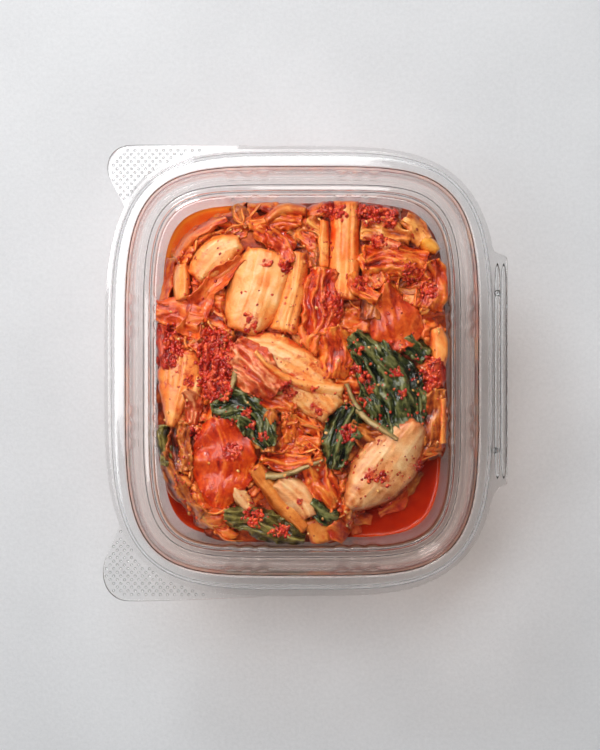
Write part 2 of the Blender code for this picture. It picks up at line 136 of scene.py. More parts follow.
def colour_ramp(tree, level, stops):
    """A colour ramp over a (node, output) level, with stops from (place, hex) pairs."""
    ramp = add_node(tree, "ShaderNodeValToRGB", {}, {"Fac": level})
    band = ramp.color_ramp
    while len(band.elements) < len(stops):
        band.elements.new(1.0)
    for element, (place, code) in zip(band.elements, stops):
        element.position = place
        element.color = linear(code)
    return ramp


def mesh_object(name, points, faces, material=None):
    """A smooth mesh object from points in millimetres."""
    mesh = bpy.data.meshes.new(name)
    mesh.from_pydata((np.asarray(points, float) * MM).tolist(), [], faces)
    mesh.shade_smooth()
    made = bpy.data.objects.new(name, mesh)
    bpy.context.scene.collection.objects.link(made)
    if material:
        mesh.materials.append(material)
    return made


def set_channel(mesh, name, values):
    """A number for each point of a mesh, which its material reads by name."""
    held = mesh.attributes.new(name, "FLOAT", "POINT")
    held.data.foreach_set("value", np.asarray(values, np.float32).ravel())


# Painted plaster: matt, with a fine trowelled grain and faint clouds.
plaster, tree = new_material("painted_plaster")
cloud = noise_texture(tree, PLASTER_CLOUD, {"Detail": 3.0})
grain = noise_texture(tree, PLASTER_GRAIN, {"Detail": 5.0, "Roughness": 0.7})
both = add_node(tree, "ShaderNodeMath", {"operation": "MULTIPLY_ADD", 1: 1.1},
                {0: (grain, "Fac"), 2: (cloud, "Fac")})
tint = add_node(tree, "ShaderNodeMapRange", {"From Min": 0.7, "From Max": 1.4}, {"Value": (both, 0)})
colour = colour_ramp(tree, (tint, 0), [(0.0, TABLE_SHADE), (1.0, TABLE_PALE)])
relief = fine_relief(tree, grain, 0.3, 0.4)
finish_surface(tree, {"Roughness": 0.85}, {"Base Color": (colour, "Color"), "Normal": (relief, 0)})
corners = [(x * TABLE_HALF, y * TABLE_HALF, 0.0) for x, y in ((-1, -1), (1, -1), (1, 1), (-1, 1))]
table = mesh_object("tabletop", corners, [(0, 1, 2, 3)], plaster)

for name, lamp in LAMPS.items():
    data = bpy.data.lights.new(name, "AREA")
    data.shape = "RECTANGLE"
    data.size = lamp["wide"] * MM
    data.size_y = lamp["tall"] * MM
    data.energy = lamp["watts"]
    light = bpy.data.objects.new(name, data)
    light.location = [c * MM for c in lamp["place"]]
    aim = Vector((0.0, 0.0, AIM_HEIGHT * MM)) - light.location
    light.rotation_euler = aim.to_track_quat("-Z", "Y").to_euler()
    bpy.context.scene.collection.objects.link(light)

world = bpy.data.worlds.new("studio")
world.use_nodes = True
tree = world.node_tree
tree.nodes.clear()
where = add_node(tree, "ShaderNodeTexCoord")
parts = add_node(tree, "ShaderNodeSeparateXYZ", {}, {0: (where, "Generated")})
rise = add_node(tree, "ShaderNodeMapRange",
                {"From Min": 0.05, "From Max": 0.95, "To Min": HORIZON_LIGHT, "To Max": ZENITH_LIGHT},
                {"Value": (parts, "Z")})
sky = add_node(tree, "ShaderNodeBackground", {"Color": linear("#F4F6F8")}, {"Strength": (rise, 0)})
output = add_node(tree, "ShaderNodeOutputWorld")
tree.links.new(sky.outputs[0], output.inputs["Surface"])
bpy.context.scene.world = world


# The tub
# One sheet of clear PET, thermoformed: a flat floor, drafted walls with
# denesting flutes, a stacking ledge, a snap bead and a flange with a finger tab.
RIM_HALF = 79.8
WINDOW_HALF = 60.4
LONGER_BY = 11.1
RIM_SQUARENESS = 3.6
WINDOW_SQUARENESS = 5.4
PET_WALL = 0.45
PET_IOR = 1.57
SHEET_WAVE = 9.0
SHEET_STEPS = 540
PROFILE_STEP = 4.0
BEND = 0.5
WINDOW_RINGS = (0.3, 0.7, 0.94, 0.98, 0.99)
FLANGE_RINGS = (0.2, 0.4, 0.6, 0.8, 0.95, 1.0)
FLANGE_SLOPE = math.tan(math.radians(1.5))
TUB_PROFILE = [
    (50.0, 0.0), (53.4, 1.6), (54.8, 5.5), (58.4, 25.0), (61.6, 39.6), (62.6, 41.0),
    (67.6, 41.6), (69.2, 43.2), (70.8, 50.4), (71.9, 52.0), (74.9, 52.0), (76.2, 49.6),
    (77.2, 49.0),
]
TUB_FLANGE_HEIGHT = 49.0
HINGE_EDGE = [
    (74.6, 55.0), (76.6, 49.2), (78.6, 47.6), (82.4, 46.2), (83.0, 45.4),
    (83.0, -44.6), (82.4, -46.0), (79.0, -47.6), (77.6, -49.8), (75.4, -55.0),
]
TUB_TAB_EDGE = [
    (-73.6, -61.0), (-75.6, -67.4), (-79.6, -75.6), (-80.8, -82.0), (-79.2, -88.2),
    (-74.8, -92.4), (-69.0, -93.4), (-14.0, -91.2),
]
FLUTE_MIDDLES = (-22.5, 22.5)
FLUTE_PITCH = 6.6
FLUTE_HALF = 3.1
FLUTE_EDGE = 2.3
TUB_FLUTE = {"deep": 0.9, "foot": 26.0, "top": 40.0, "ledge": (61.0, 67.0)}
# Painted food light: a pink tint in the clear walls for the food's reflected and bounced light, thin up the
# wall, heavier along two beads and towards the lower right.
OIL_FILM = "#E4AE8E"
THIN_FILM = 0.17
OILED_BEADS = {61.8: 0.7, 71.4: 0.4}
BEAD_SPREAD = 0.5
OILED_SIDE = 300.0
OIL_LEAN = 0.7
SHADE_OF_SHEET = "#E7E3E0"


def ring_reach(angle, half):
    """How far a ring of the given half-width reaches from the middle."""
    growth = (WINDOW_SQUARENESS - RIM_SQUARENESS) / (RIM_HALF - WINDOW_HALF)
    power = RIM_SQUARENESS + (RIM_HALF - half) * growth
    across = np.abs(np.cos(angle)) / half
    along = np.abs(np.sin(angle)) / (half + LONGER_BY)
    return (across**power + along**power) ** (-1.0 / power)


def rounded(points, rounds):
    """An open line with its corners cut a few times, its two ends kept."""
    line = [np.array(p, float) for p in points]
    for _ in range(rounds):
        cut = [line[0]]
        for a, b in zip(line, line[1:]):
            cut += [a * 0.75 + b * 0.25, a * 0.25 + b * 0.75]
        line = cut + [line[-1]]
    return line


def bent(points):
    """A profile whose corners are tight bends, with its flats kept flat beside them."""
    points = [np.array(p, float) for p in points]
    line = [points[0]]
    for before, corner, after in zip(points, points[1:], points[2:]):
        sides = []
        for other in (before, after):
            length = math.dist(other, corner)
            reaches = (min(0.45 * length, BEND + 0.25), min(0.3 * length, BEND))
            sides.append([corner + (other - corner) * reach / length for reach in reaches])
        (far_a, near_a), (far_b, near_b) = sides
        line += [far_a, near_a, (near_a + 2.0 * corner + near_b) / 4.0, near_b, far_b]
    return line + [points[-1]]


def evened(points, longest):
    """A line with its long runs divided, so that none is longer than the given step."""
    line = [points[0]]
    for a, b in zip(points, points[1:]):
        parts = max(1, math.ceil(math.dist(a, b) / longest))
        line += [a + (b - a) * i / parts for i in range(1, parts + 1)]
    return line


def edge_reach(angles, edge):
    """How far a rounded open outline reaches at each angle, 0 where a ray misses it."""
    points = rounded(edge, 2)
    dx, dy = np.cos(angles), np.sin(angles)
    best = np.zeros_like(angles)
    for (ax, ay), (bx, by) in zip(points, points[1:]):
        ex, ey = bx - ax, by - ay
        cross = dx * ey - dy * ex
        cross = np.where(np.abs(cross) < 1e-9, 1e-9, cross)
        along_ray = (ax * ey - ay * ex) / cross
        along_edge = (ax * dy - ay * dx) / cross
        hit = (along_ray > 0.0) & (along_edge >= 0.0) & (along_edge <= 1.0)
        best = np.where(hit, np.maximum(best, along_ray), best)
    return best


def smoothstep(low, high, value):
    part = np.clip((value - low) / (high - low), 0.0, 1.0)
    return part * part * (3.0 - 2.0 * part)


def flute_share(angles, half):
    """1 inside a denesting flute, 0 between them, along each side of the box."""
    reach = ring_reach(angles, half)
    x, y = reach * np.cos(angles), reach * np.sin(angles)
    on_long_side = np.abs(x) / half > np.abs(y) / (half + LONGER_BY)
    place = np.where(on_long_side, y, x)
    share = np.zeros_like(angles)
    for middle in FLUTE_MIDDLES:
        for step in (-1, 0, 1):
            away = np.abs(place - middle - step * FLUTE_PITCH)
            share = np.maximum(share, 1.0 - smoothstep(FLUTE_HALF - FLUTE_EDGE, FLUTE_HALF, away))
    return share


def ring_faces(rings, count, closed=False):
    """Quads between rings of points that follow each other, from the inside out."""
    faces = []
    for ring in range(rings if closed else rings - 1):
        low, high = ring * count, (ring + 1) % rings * count
        for i in range(count):
            j = (i + 1) % count
            faces.append((low + i, high + i, high + j, low + j))
    return faces


def pet_sheet(name, profile, flange_height, tab_edge, flute_depth, film_at, faces_up):
    """A formed sheet: rings of the profile, then the flange's edge, with its wall."""
    angles = np.linspace(0.0, 2.0 * math.pi, SHEET_STEPS, endpoint=False)
    steps = evened(bent(profile), PROFILE_STEP)
    inner_half, inner_height = steps[0]
    rings = [(share * ring_reach(angles, inner_half), inner_height, 0.0) for share in WINDOW_RINGS]
    for half, height in steps:
        reach = ring_reach(angles, half) - flute_depth(height, half) * flute_share(angles, half)
        rings.append((reach, height, film_at(height, half)))
    start = ring_reach(angles, steps[-1][0])
    hinge = edge_reach(angles, HINGE_EDGE)
    rim = np.maximum(np.maximum(ring_reach(angles, RIM_HALF), edge_reach(angles, tab_edge)), hinge)
    slope = FLANGE_SLOPE * (1.0 - smoothstep(0.0, 4.0, hinge - ring_reach(angles, RIM_HALF)))
    for share in FLANGE_RINGS:
        out = (rim - start) * share
        rings.append((start + out, flange_height - slope * out, 0.0))
    points = np.concatenate([
        np.stack([reach * np.cos(angles), reach * np.sin(angles), height + 0.0 * angles], axis=-1)
        for reach, height, film in rings])
    faces = ring_faces(len(rings), SHEET_STEPS) + [tuple(range(SHEET_STEPS))]
    if not faces_up:
        faces = [tuple(reversed(face)) for face in faces]
    sheet = mesh_object(name, points, faces, clear_pet)
    # The painted food light leans towards the lower right of the box.
    run_to = 1.0 + OIL_LEAN * np.cos(angles - math.radians(OILED_SIDE))
    set_channel(sheet.data, "film", np.outer([film for reach, height, film in rings], run_to))
    wall = sheet.modifiers.new("wall", "SOLIDIFY")
    wall.thickness = PET_WALL * MM
    wall.offset = -1.0
    return sheet


# Clear PET sheet: thermoformed, water clear and polished, with mirror lines on
# every bead. A pink tint painted into the walls for the food's reflected and bounced light. Lamplight goes
# through.
clear_pet, tree = new_material("clear_pet_sheet")
film = add_node(tree, "ShaderNodeAttribute", {"attribute_name": "film"})
oiled = add_node(tree, "ShaderNodeMix", {"data_type": "RGBA", 6: linear("#FFFFFF"), 7: linear(OIL_FILM)},
                 {0: (film, "Fac")})
relief = fine_relief(tree, noise_texture(tree, SHEET_WAVE, {"Detail": 1.0}), 0.04, 0.5)
shader = add_node(tree, "ShaderNodeBsdfPrincipled",
                  {"Roughness": 0.03, "IOR": PET_IOR, "Transmission Weight": 1.0},
                  {"Base Color": (oiled, 2), "Normal": (relief, 0)})
passing = add_node(tree, "ShaderNodeBsdfTransparent", {"Color": linear(SHADE_OF_SHEET)})
ray = add_node(tree, "ShaderNodeLightPath")
mixed = add_node(tree, "ShaderNodeMixShader", {},
                 {0: (ray, "Is Shadow Ray"), 1: (shader, 0), 2: (passing, 0)})
link_surface(tree, mixed)


def tub_flute_depth(height, half):
    """Deepest under the ledge, fading out half way down the wall and over the ledge."""
    rise = smoothstep(TUB_FLUTE["foot"], TUB_FLUTE["top"], height)
    return TUB_FLUTE["deep"] * float(rise * (1.0 - smoothstep(*TUB_FLUTE["ledge"], half)))


def tub_film(height, half):
    """Painted food light in the wall: thin up the wall, heavier in a run along two of the beads."""
    thin = THIN_FILM * smoothstep(20.0, 30.0, height) * (1.0 - smoothstep(68.5, 71.5, half))
    run = sum(much * math.exp(-(((half - bead) / BEAD_SPREAD) ** 2))
              for bead, much in OILED_BEADS.items())
    return float(min(1.0, thin + run))


tub = pet_sheet("clear_tub", TUB_PROFILE, TUB_FLANGE_HEIGHT, TUB_TAB_EDGE, tub_flute_depth, tub_film, False)
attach(tub, TUB_BODY)
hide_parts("tub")


# The lid
# The same clear PET, formed with a raised window, a plug that sits inside the
# tub's rim with notches over its flutes, a snap bead and its own finger tab.
LID_PROFILE = [
    (58.9, 57.6), (60.6, 56.4), (61.6, 51.4), (64.0, 50.6), (66.2, 45.2), (67.4, 44.6),
    (68.4, 45.4), (69.6, 50.4), (71.0, 54.0), (75.4, 53.6), (76.6, 52.9), (77.7, 50.4),
]
LID_FLANGE_HEIGHT = 50.4
LID_TAB_EDGE = [
    (-71.6, 66.6), (-74.6, 71.8), (-78.0, 78.0), (-78.8, 82.4), (-77.6, 87.0),
    (-73.6, 90.6), (-68.5, 91.5), (-22.0, 91.0),
]
LID_FILM = 0.1
LID_NOTCH = {"deep": 0.9, "inner": 66.8, "outer": 70.4}


def lid_notch_depth(height, half):
    """The plug's outer wall steps in over each flute."""
    middle = 0.5 * (LID_NOTCH["inner"] + LID_NOTCH["outer"])
    spread = 0.5 * (LID_NOTCH["outer"] - LID_NOTCH["inner"])
    return LID_NOTCH["deep"] * max(0.0, 1.0 - ((half - middle) / spread) ** 2)


def lid_film(height, half):
    """A faint touch of the same painted food light on both walls of the plug."""
    return LID_FILM * float(smoothstep(61.0, 63.0, half) * (1.0 - smoothstep(70.0, 72.0, half)))


lid = pet_sheet("clear_lid", LID_PROFILE, LID_FLANGE_HEIGHT, LID_TAB_EDGE, lid_notch_depth, lid_film, True)
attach(lid, LID_BODY)
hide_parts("lid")


# The finger tabs' dots
# Small raised dots in staggered rows, formed in both tabs for grip. Each row is
# half a pitch out of step with the next.
DOT_PITCH = 2.9
DOT_ROW = 1.5
DOT_RADIUS = 0.6
DOT_RISE = 0.26
DOT_FIELD_END = -37.0
DOT_FIELD_START = -80.5
DOT_COLUMNS = 20


def geometry_tree(name, numbers):
    """A node tree for a Geometry Nodes modifier, with its number inputs."""
    tree = bpy.data.node_groups.new(name, "GeometryNodeTree")
    tree.interface.new_socket("Geometry", in_out="INPUT", socket_type="NodeSocketGeometry")
    for label in numbers:
        tree.interface.new_socket(label, in_out="INPUT", socket_type="NodeSocketFloat")
    tree.interface.new_socket("Geometry", in_out="OUTPUT", socket_type="NodeSocketGeometry")
    return tree, add_node(tree, "NodeGroupInput"), add_node(tree, "NodeGroupOutput")


def finish_tree(tree, result, output, material):
    """Ends a tree in real, smooth mesh with its material."""
    real = add_node(tree, "GeometryNodeRealizeInstances", {}, {0: result})
    smooth = add_node(tree, "GeometryNodeSetShadeSmooth", {}, {0: (real, 0)})
    finished = add_node(tree, "GeometryNodeSetMaterial", {"Material": material}, {0: (smooth, 0)})
    tree.links.new(finished.outputs[0], output.inputs[0])


def grown(name, carrier, tree, numbers):
    """The plain mesh that a tree grows on a carrier, which is then removed."""
    growing = carrier.modifiers.new("growing", "NODES")
    growing.node_group = tree
    for item in tree.interface.items_tree:
        if item.in_out == "INPUT" and item.name in numbers:
            growing[item.identifier] = float(numbers[item.name])
    held = carrier.evaluated_get(bpy.context.evaluated_depsgraph_get())
    mesh = bpy.data.meshes.new_from_object(held)
    mesh.name = name
    carrier.modifiers.remove(growing)
    bpy.data.objects.remove(carrier)
    made = bpy.data.objects.new(name, mesh)
    bpy.context.scene.collection.objects.link(made)
    return made


def tab_dots(name, tab_edge, height):
    """The points of one tab's dots, then a low dome on each."""
    low_y, high_y = sorted((tab_edge[0][1], tab_edge[-2][1]))
    spots = []
    for row in range(int((high_y - low_y) / DOT_ROW) + 1):
        y = low_y + row * DOT_ROW
        for column in range(DOT_COLUMNS):
            x = DOT_FIELD_START + (column + 0.5 * (row % 2)) * DOT_PITCH
            angle = np.array([math.atan2(y, x)])
            edge = edge_reach(angle, tab_edge)[0]
            distance = math.hypot(x, y)
            if ring_reach(angle, RIM_HALF)[0] + 0.6 < distance < edge - 1.6 and x < DOT_FIELD_END:
                out = distance - ring_reach(angle, 77.4)[0]
                spots.append((x, y, height - FLANGE_SLOPE * out - 0.05))
    carrier = mesh_object(name + "_places", spots, [])
    tree, given, output = geometry_tree(name + "_tree", ["Radius", "Rise"])
    ball = add_node(tree, "GeometryNodeMeshUVSphere", {"Segments": 10, "Rings": 6},
                    {"Radius": (given, "Radius")})
    size = add_node(tree, "ShaderNodeCombineXYZ", {0: 1.0, 1: 1.0}, {2: (given, "Rise")})
    dots = add_node(tree, "GeometryNodeInstanceOnPoints", {},
                    {"Points": (given, 0), "Instance": (ball, 0), "Scale": (size, 0)})
    finish_tree(tree, (dots, 0), output, clear_pet)
    return grown(name, carrier, tree, {"Radius": DOT_RADIUS * MM, "Rise": DOT_RISE / DOT_RADIUS})


for name, edge, height, body in (
        ("lid_tab_dots", LID_TAB_EDGE, LID_FLANGE_HEIGHT, LID_BODY),
        ("tub_tab_dots", TUB_TAB_EDGE, TUB_FLANGE_HEIGHT, TUB_BODY)):
    dots = tab_dots(name, edge, height)
    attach(dots, body)


# The living hinge
# Both flanges run out to one fold line. A rounded bead beside the fold stiffens
# each, with two snap buttons near its ends. It is formed in the same sheet.
HINGE_BEADS = (("lid_hinge_bead", 78.9, LID_FLANGE_HEIGHT - 0.1, LID_BODY),
               ("tub_hinge_bead", 81.6, TUB_FLANGE_HEIGHT - 0.45, TUB_BODY))
HINGE_BEAD_HALF = 43.5
HINGE_BEAD_RADIUS = 1.2
HINGE_BEAD_RISE = 0.35
HINGE_BEAD_STEPS = 40
BUTTON_PLACES = ((78.9, 31.5), (77.9, -32.0))
BUTTON_RADIUS = 1.3
BEAD_SIDES = 12


def half_round(name, place, height):
    """A bead along the fold, closed at both ends, with the snap buttons beside it."""
    along = np.linspace(-HINGE_BEAD_HALF, HINGE_BEAD_HALF, HINGE_BEAD_STEPS)
    turn = np.linspace(0.0, 2.0 * math.pi, BEAD_SIDES, endpoint=False)
    swell = HINGE_BEAD_RADIUS * np.sqrt(np.clip(1.0 - (np.abs(along) / HINGE_BEAD_HALF) ** 12, 0.02, 1.0))
    points = []
    for y, radius in zip(along, swell):
        points += list(zip(place + radius * np.cos(turn), y + 0.0 * turn,
                           height + HINGE_BEAD_RISE * radius * np.sin(turn)))
    faces = ring_faces(HINGE_BEAD_STEPS, BEAD_SIDES)
    faces += [tuple(range(BEAD_SIDES)), tuple(reversed(range(len(points) - BEAD_SIDES, len(points))))]
    bead = mesh_object(name, points, faces, clear_pet)
    shape = bmesh.new()
    shape.from_mesh(bead.data)
    for x, y in BUTTON_PLACES:
        button = bmesh.ops.create_uvsphere(shape, u_segments=20, v_segments=12, radius=BUTTON_RADIUS * MM)
        for vert in button["verts"]:
            vert.co = Vector((vert.co.x + x * MM, vert.co.y + y * MM, vert.co.z * 0.45 + height * MM))
    bmesh.ops.recalc_face_normals(shape, faces=shape.faces[:])
    shape.to_mesh(bead.data)
    shape.free()
    bead.data.shade_smooth()
    return bead


for name, place, height, body in HINGE_BEADS:
    bead = half_round(name, place, height)
    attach(bead, body)


# How the kimchi lies
# Cut cabbage, greens and chili paste are heaped by hand on a packed bed. Each
# piece is laid on what is already there, from the lowest to the highest.
GAP = 0.35
FLOOR_TOP = 0.9
BRINE_LEVEL = 25.0
BRINE_THINNEST = 1.2
POOLS = [(133.0, 20.0, 4.5), (228.0, 13.0, 3.2), (306.0, 19.0, 12.0)]
BED_EDGE = 36.5
BED_RISE = 6.0
HEAP_CEILING = 51.5
EDGE_CEILING = 40.4
LEAF_RIPPLE = 0.9
RIPPLE_LENGTH = 13.0
PIECES = [
    ("film_top", "leaf", [(-22, 60), (0, 62)], [5, 8, 6], 1.0),
    ("tan_top", "stem", [(-15, 61), (-8, 66), (2, 66)], [4, 6, 5], 1.5),
    ("tan_gap", "leaf", [(2, 62), (9, 57)], [5, 7, 5], 1.0),
    ("folded_top", "leaf", [(-19, 58), (-11, 54), (-4, 49)], [6, 10, 8], 2.0),
    ("chili_top", "clump", [(8, 68), (18, 65)], [4, 6, 4], 2.0),
    ("chili_top_right", "clump", [(24, 67), (38, 63)], [5, 7, 5], 2.5),
    ("fold_right", "leaf", [(24, 58), (34, 57), (44, 52)], [8, 11, 9], -1.5),
    ("pale_right", "leaf", [(42, 63), (47, 59), (51, 53)], [6, 9, 7], 1.5),
    ("blob_right", "stem", [(49, 54), (56, 49)], [4, 6, 4], 1.5),
    ("ruffle_right", "leaf", [(52, 45), (55, 36), (53, 25)], [9, 13, 11], 2.0),
    ("patch_right", "leaf", [(29, 37), (28, 21)], [8, 10, 9], 1.5),
    ("fold_middle", "leaf", [(24, 48), (29, 42), (33, 35)], [7, 10, 8], 2.0),
    ("block_left", "stem", [(-50, 44), (-49, 29)], [6, 8, 7], 1.0),
    ("chili_left", "clump", [(-57, 19), (-56, 2)], [6, 9, 7], 2.0),
    ("salmon_left", "leaf", [(-60, 25), (-51, 24), (-41, 20)], [9, 13, 10], 1.5),
    ("crumble_left", "clump", [(-34, 16), (-36, 3), (-35, -11)], [9, 12, 9], 1.0),
    ("veined_left", "leaf", [(-30, 17), (-30, 4)], [5, 7, 5], 1.0),
    ("olive_left", "leaf", [(-57, -22), (-56, -39)], [4, 6, 4], 1.0),
    ("brown_left", "leaf", [(-50, -21), (-50, -31), (-48, -41)], [7, 10, 7], -1.0),
    ("curl_left", "stem", [(-51, -43), (-45, -47)], [3, 4, 3], 1.0),
    ("dark_right", "leaf", [(42, 14), (51, 5)], [7, 9, 6], 1.5),
    ("cream_right", "stem", [(55, 18), (57, 10), (56, 2)], [5, 9, 6], 1.5),
    ("chili_right", "clump", [(55, 4), (55, -7)], [7, 9, 7], 1.5),
    ("brown_right", "leaf", [(55, -7), (54, -19), (52, -31)], [9, 12, 8], 1.5),
    ("strip_right", "stem", [(58, -11), (58, -30)], [3, 3, 3], 0.5),
    ("dark_middle", "leaf", [(19, -23), (27, -27), (36, -30)], [7, 10, 8], 1.0),
    ("crinkled_low", "leaf", [(2, -37), (6, -46), (11, -58)], [11, 17, 12], 2.0),
    ("tan_low", "stem", [(-20, -39), (-9, -53), (2, -65)], [7, 9, 8], 2.0),
    ("fibre_low", "stem", [(-28, -47), (-21, -57)], [5, 7, 5], 1.5),
    ("red_low", "leaf", [(11, -63), (19, -69)], [6, 8, 5], 1.5),
    ("radish_low", "stem", [(5, -60), (9, -71)], [9, 10, 9], 0.5),
    ("green_low_right", "leaf", [(3, -54), (14, -61)], [6, 9, 5], 1.5),
    ("green_low", "leaf", [(-32, -59), (-21, -61), (-9, -66), (1, -70)], [5, 11, 13, 10, 5], 2.5),
    ("tan_middle", "leaf", [(-12, -15), (-13, -33)], [6, 9, 6], 1.5),
    ("rib_left", "stem", [(-42, -2), (-45, -14)], [4, 5, 4], 1.5),
    ("cream_left", "stem", [(-49, 9), (-50, -2), (-52, -12), (-54, -23)], [9, 18, 17, 10, 4], 2.0),
    ("cream_low", "stem", [(-10, -44), (-1, -52), (3, -60)], [9, 12, 10, 7], 2.5),
    ("glossy_left", "leaf", [(-35, -19), (-32, -32), (-33, -44), (-35, -56)], [12, 24, 26, 20, 8], 2.5),
    ("strip_olive", "stem", [(-29, 49), (-37, 41), (-41, 34)], [2, 3, 2], 0.3),
    ("cream_upper_left", "stem", [(-25, 53), (-35, 48), (-44, 38)], [7, 13, 14, 8], 1.5),
    ("rib_top", "stem", [(9, 62), (9, 42)], [4, 5, 4], 1.0),
    ("ribbed_top", "stem", [(18, 70), (17.5, 50), (17, 29)], [11, 12, 13, 12], 1.5),
    ("red_ridged", "leaf", [(9, 42), (8, 30), (8, 15)], [11, 17, 18, 13], 2.0),
    ("peach_middle", "stem", [(-1, 49), (-3, 35), (-8, 16)], [6, 9, 11, 12], 2.0),
    ("cream_big", "stem", [(-15, 50), (-18, 34), (-25, 16)], [15, 22, 25, 22, 12], 3.0),
    ("trough_left", "leaf", [(-24, 46), (-36, 36), (-42, 26), (-47, 14)], [4, 8, 10, 9], -2.5),
    ("roll_right", "leaf", [(25, 45), (37, 46), (51, 43)], [12, 15, 12], 4.0),
    ("salmon_right", "leaf", [(34, 36), (36, 27), (39, 17), (41, 9)], [4, 12, 21, 21, 10], 2.5),
    ("folded_middle", "leaf", [(13, 18), (14, 8), (13, -3)], [9, 14, 14, 9], 3.0),
    ("green_left", "leaf", [(-37, -16), (-27, -14), (-19, -20), (-13, -31)], [6, 13, 16, 14, 7], 2.0),
    ("wrinkled_middle", "leaf", [(-21, -7), (-2, -14)], [8, 10, 8], 1.5),
    ("green_right", "leaf", [(20, 15), (28, 6), (36, -6), (40, -20), (41, -28)], [7, 17, 27, 23, 10], 3.0),
    ("green_middle", "leaf", [(21, -14), (16, -26), (12, -40)], [8, 15, 13, 6], 2.0),
    ("cream_lower_right", "stem", [(48, -21), (38, -34), (28, -46), (19, -56)], [8, 19, 25, 24, 16, 6], 3.5),
    ("leaf_central", "stem", [(-27, 5), (-14, 3), (0, -4), (13, -17)], [14, 24, 26, 24, 20, 12], 3.5),
    ("stalk_left", "stem", [(-26, 9), (-28, -4), (-32, -13)], [3, 3, 2], 0.5),
    ("stalk_low", "stem", [(-15, -43), (-6, -42), (9, -36)], [3, 3, 2], 0.5),
    ("stalk_right", "stem", [(18, -5), (23, -16), (30, -22), (39, -28)], [2, 3, 3, 2], 0.5),
]
THICKNESS = {"stem": 3.2, "leaf": 1.5, "clump": 3.0, "scrap": 1.2, "shred": 1.1, "rib": 1.4}
SINK = {"stem": 1.0, "leaf": 0.3, "clump": 1.6, "scrap": 0.9, "shred": 0.4, "rib": 0.4}
HEAP_HALF_X = 80
HEAP_HALF_Y = 91


def profile_half(height):
    """The tub's outer half-width at a height below its ledge."""
    foot = (TUB_PROFILE[0][0], FLOOR_TOP)
    levels = [level for half, level in [foot] + TUB_PROFILE[2:5]]
    halves = [half for half, level in [foot] + TUB_PROFILE[2:5]]
    return np.interp(height, levels, halves)


def inside_reach(angle, height):
    return ring_reach(angle, profile_half(height)) - PET_WALL - 2.0 * GAP


def pool_width(angle):
    """How far the heap stands back from the wall at an angle, for the brine."""
    turn = np.degrees(angle) % 360.0
    width = np.zeros_like(turn)
    for middle, spread, deepest in POOLS:
        away = np.abs((turn - middle + 180.0) % 360.0 - 180.0)
        width = np.maximum(width, deepest * np.exp(-((away / spread) ** 4)))
    return width


def core_reach(angle, height):
    return inside_reach(angle, height) - BRINE_THINNEST - GAP - pool_width(angle)


def bed_height(x, y):
    angle, distance = np.arctan2(y, x), np.hypot(x, y)
    share = distance / inside_reach(angle, BED_EDGE)
    bed = BED_EDGE + BED_RISE * np.maximum(0.0, 1.0 - share * share)
    in_pool = (distance > core_reach(angle, BRINE_LEVEL) + GAP) & (pool_width(angle) > 2.0)
    return np.where(in_pool, BRINE_LEVEL + 1.5, bed)


def ceiling(x, y):
    share = np.hypot(x, y) / inside_reach(np.arctan2(y, x), EDGE_CEILING)
    drop = np.clip((share - 0.86) / 0.12, 0.0, 1.0)
    return HEAP_CEILING + (EDGE_CEILING - HEAP_CEILING) * drop


def between(values, share):
    """Smooth values at shares of the way along a row of values."""
    values = np.asarray(values, float)
    last = len(values) - 1
    place = np.asarray(share, float) * last
    index = np.clip(place.astype(int), 0, last - 1)
    part = place - index
    before, start = values[np.maximum(index - 1, 0)], values[index]
    end, after = values[index + 1], values[np.minimum(index + 2, last)]
    return 0.5 * (
        2.0 * start + (end - before) * part
        + (2.0 * before - 5.0 * start + 4.0 * end - after) * part**2
        + (3.0 * start - before - 3.0 * end + after) * part**3
    )


def plan(path, widths, share, across):
    """Points of the piece's plan, at shares along it and -1 to 1 across it."""
    step = 0.02
    xs, ys = [p[0] for p in path], [p[1] for p in path]
    ahead = np.minimum(np.maximum(share, 0.0) + step, 1.0)
    behind = np.maximum(np.minimum(share, 1.0) - step, 0.0)
    dx = between(xs, ahead) - between(xs, behind)
    dy = between(ys, ahead) - between(ys, behind)
    size = np.hypot(dx, dy)
    half = 0.5 * between(widths, share)
    return between(xs, share) - dy / size * half * across, between(ys, share) + dx / size * half * across


def grid_height(grid, x, y, cell):
    """The height of a grid of heights at any point."""
    column, row = (x + HEAP_HALF_X) / cell, (y + HEAP_HALF_Y) / cell
    i, j = row.astype(int), column.astype(int)
    a, b = row - i, column - j
    low = grid[i, j] * (1 - b) + grid[i, j + 1] * b
    high = grid[i + 1, j] * (1 - b) + grid[i + 1, j + 1] * b
    return low * (1 - a) + high * a


def basis(share, across):
    u = 2.0 * share - 1.0
    one = np.ones_like(u)
    return np.stack([one, u, across, u * u, across * across, u * across], axis=-1)


def resting_factors(grid, cell, path, widths, sink, carried=72):
    """A stiff curved surface through the heap under the piece, raised until it is carried."""
    share, across = np.meshgrid(np.linspace(0.0, 1.0, 9), np.linspace(-1.0, 1.0, 5), indexing="ij")
    heights = grid_height(grid, *plan(path, widths, share, across), cell).ravel()
    rows = basis(share, across).reshape(-1, 6)
    factors = np.linalg.lstsq(rows, heights, rcond=None)[0]
    factors[3:] *= 0.7
    factors[0] += np.percentile(heights - rows @ factors, carried) - sink
    return factors


def kept_inside(x, y, height):
    reach = inside_reach(np.arctan2(y, x), height)
    shrink = np.minimum(1.0, reach / np.maximum(np.hypot(x, y), 1e-6))
    return x * shrink, y * shrink


def lying(piece, share, across):
    """Plan and lower height of a laid piece, before its thickness and fine relief."""
    x, y = plan(piece["path"], piece["widths"], share, across)
    base = basis(share, across) @ piece["factors"] + piece["dome"] * (0.6 - across * across)
    if piece["kind"] == "leaf":
        wave = np.sin(2.0 * math.pi * share * piece["length"] / RIPPLE_LENGTH + 1.3 * across)
        base = base + LEAF_RIPPLE * wave * (0.4 + 0.6 * np.abs(across))
    return x, y, base


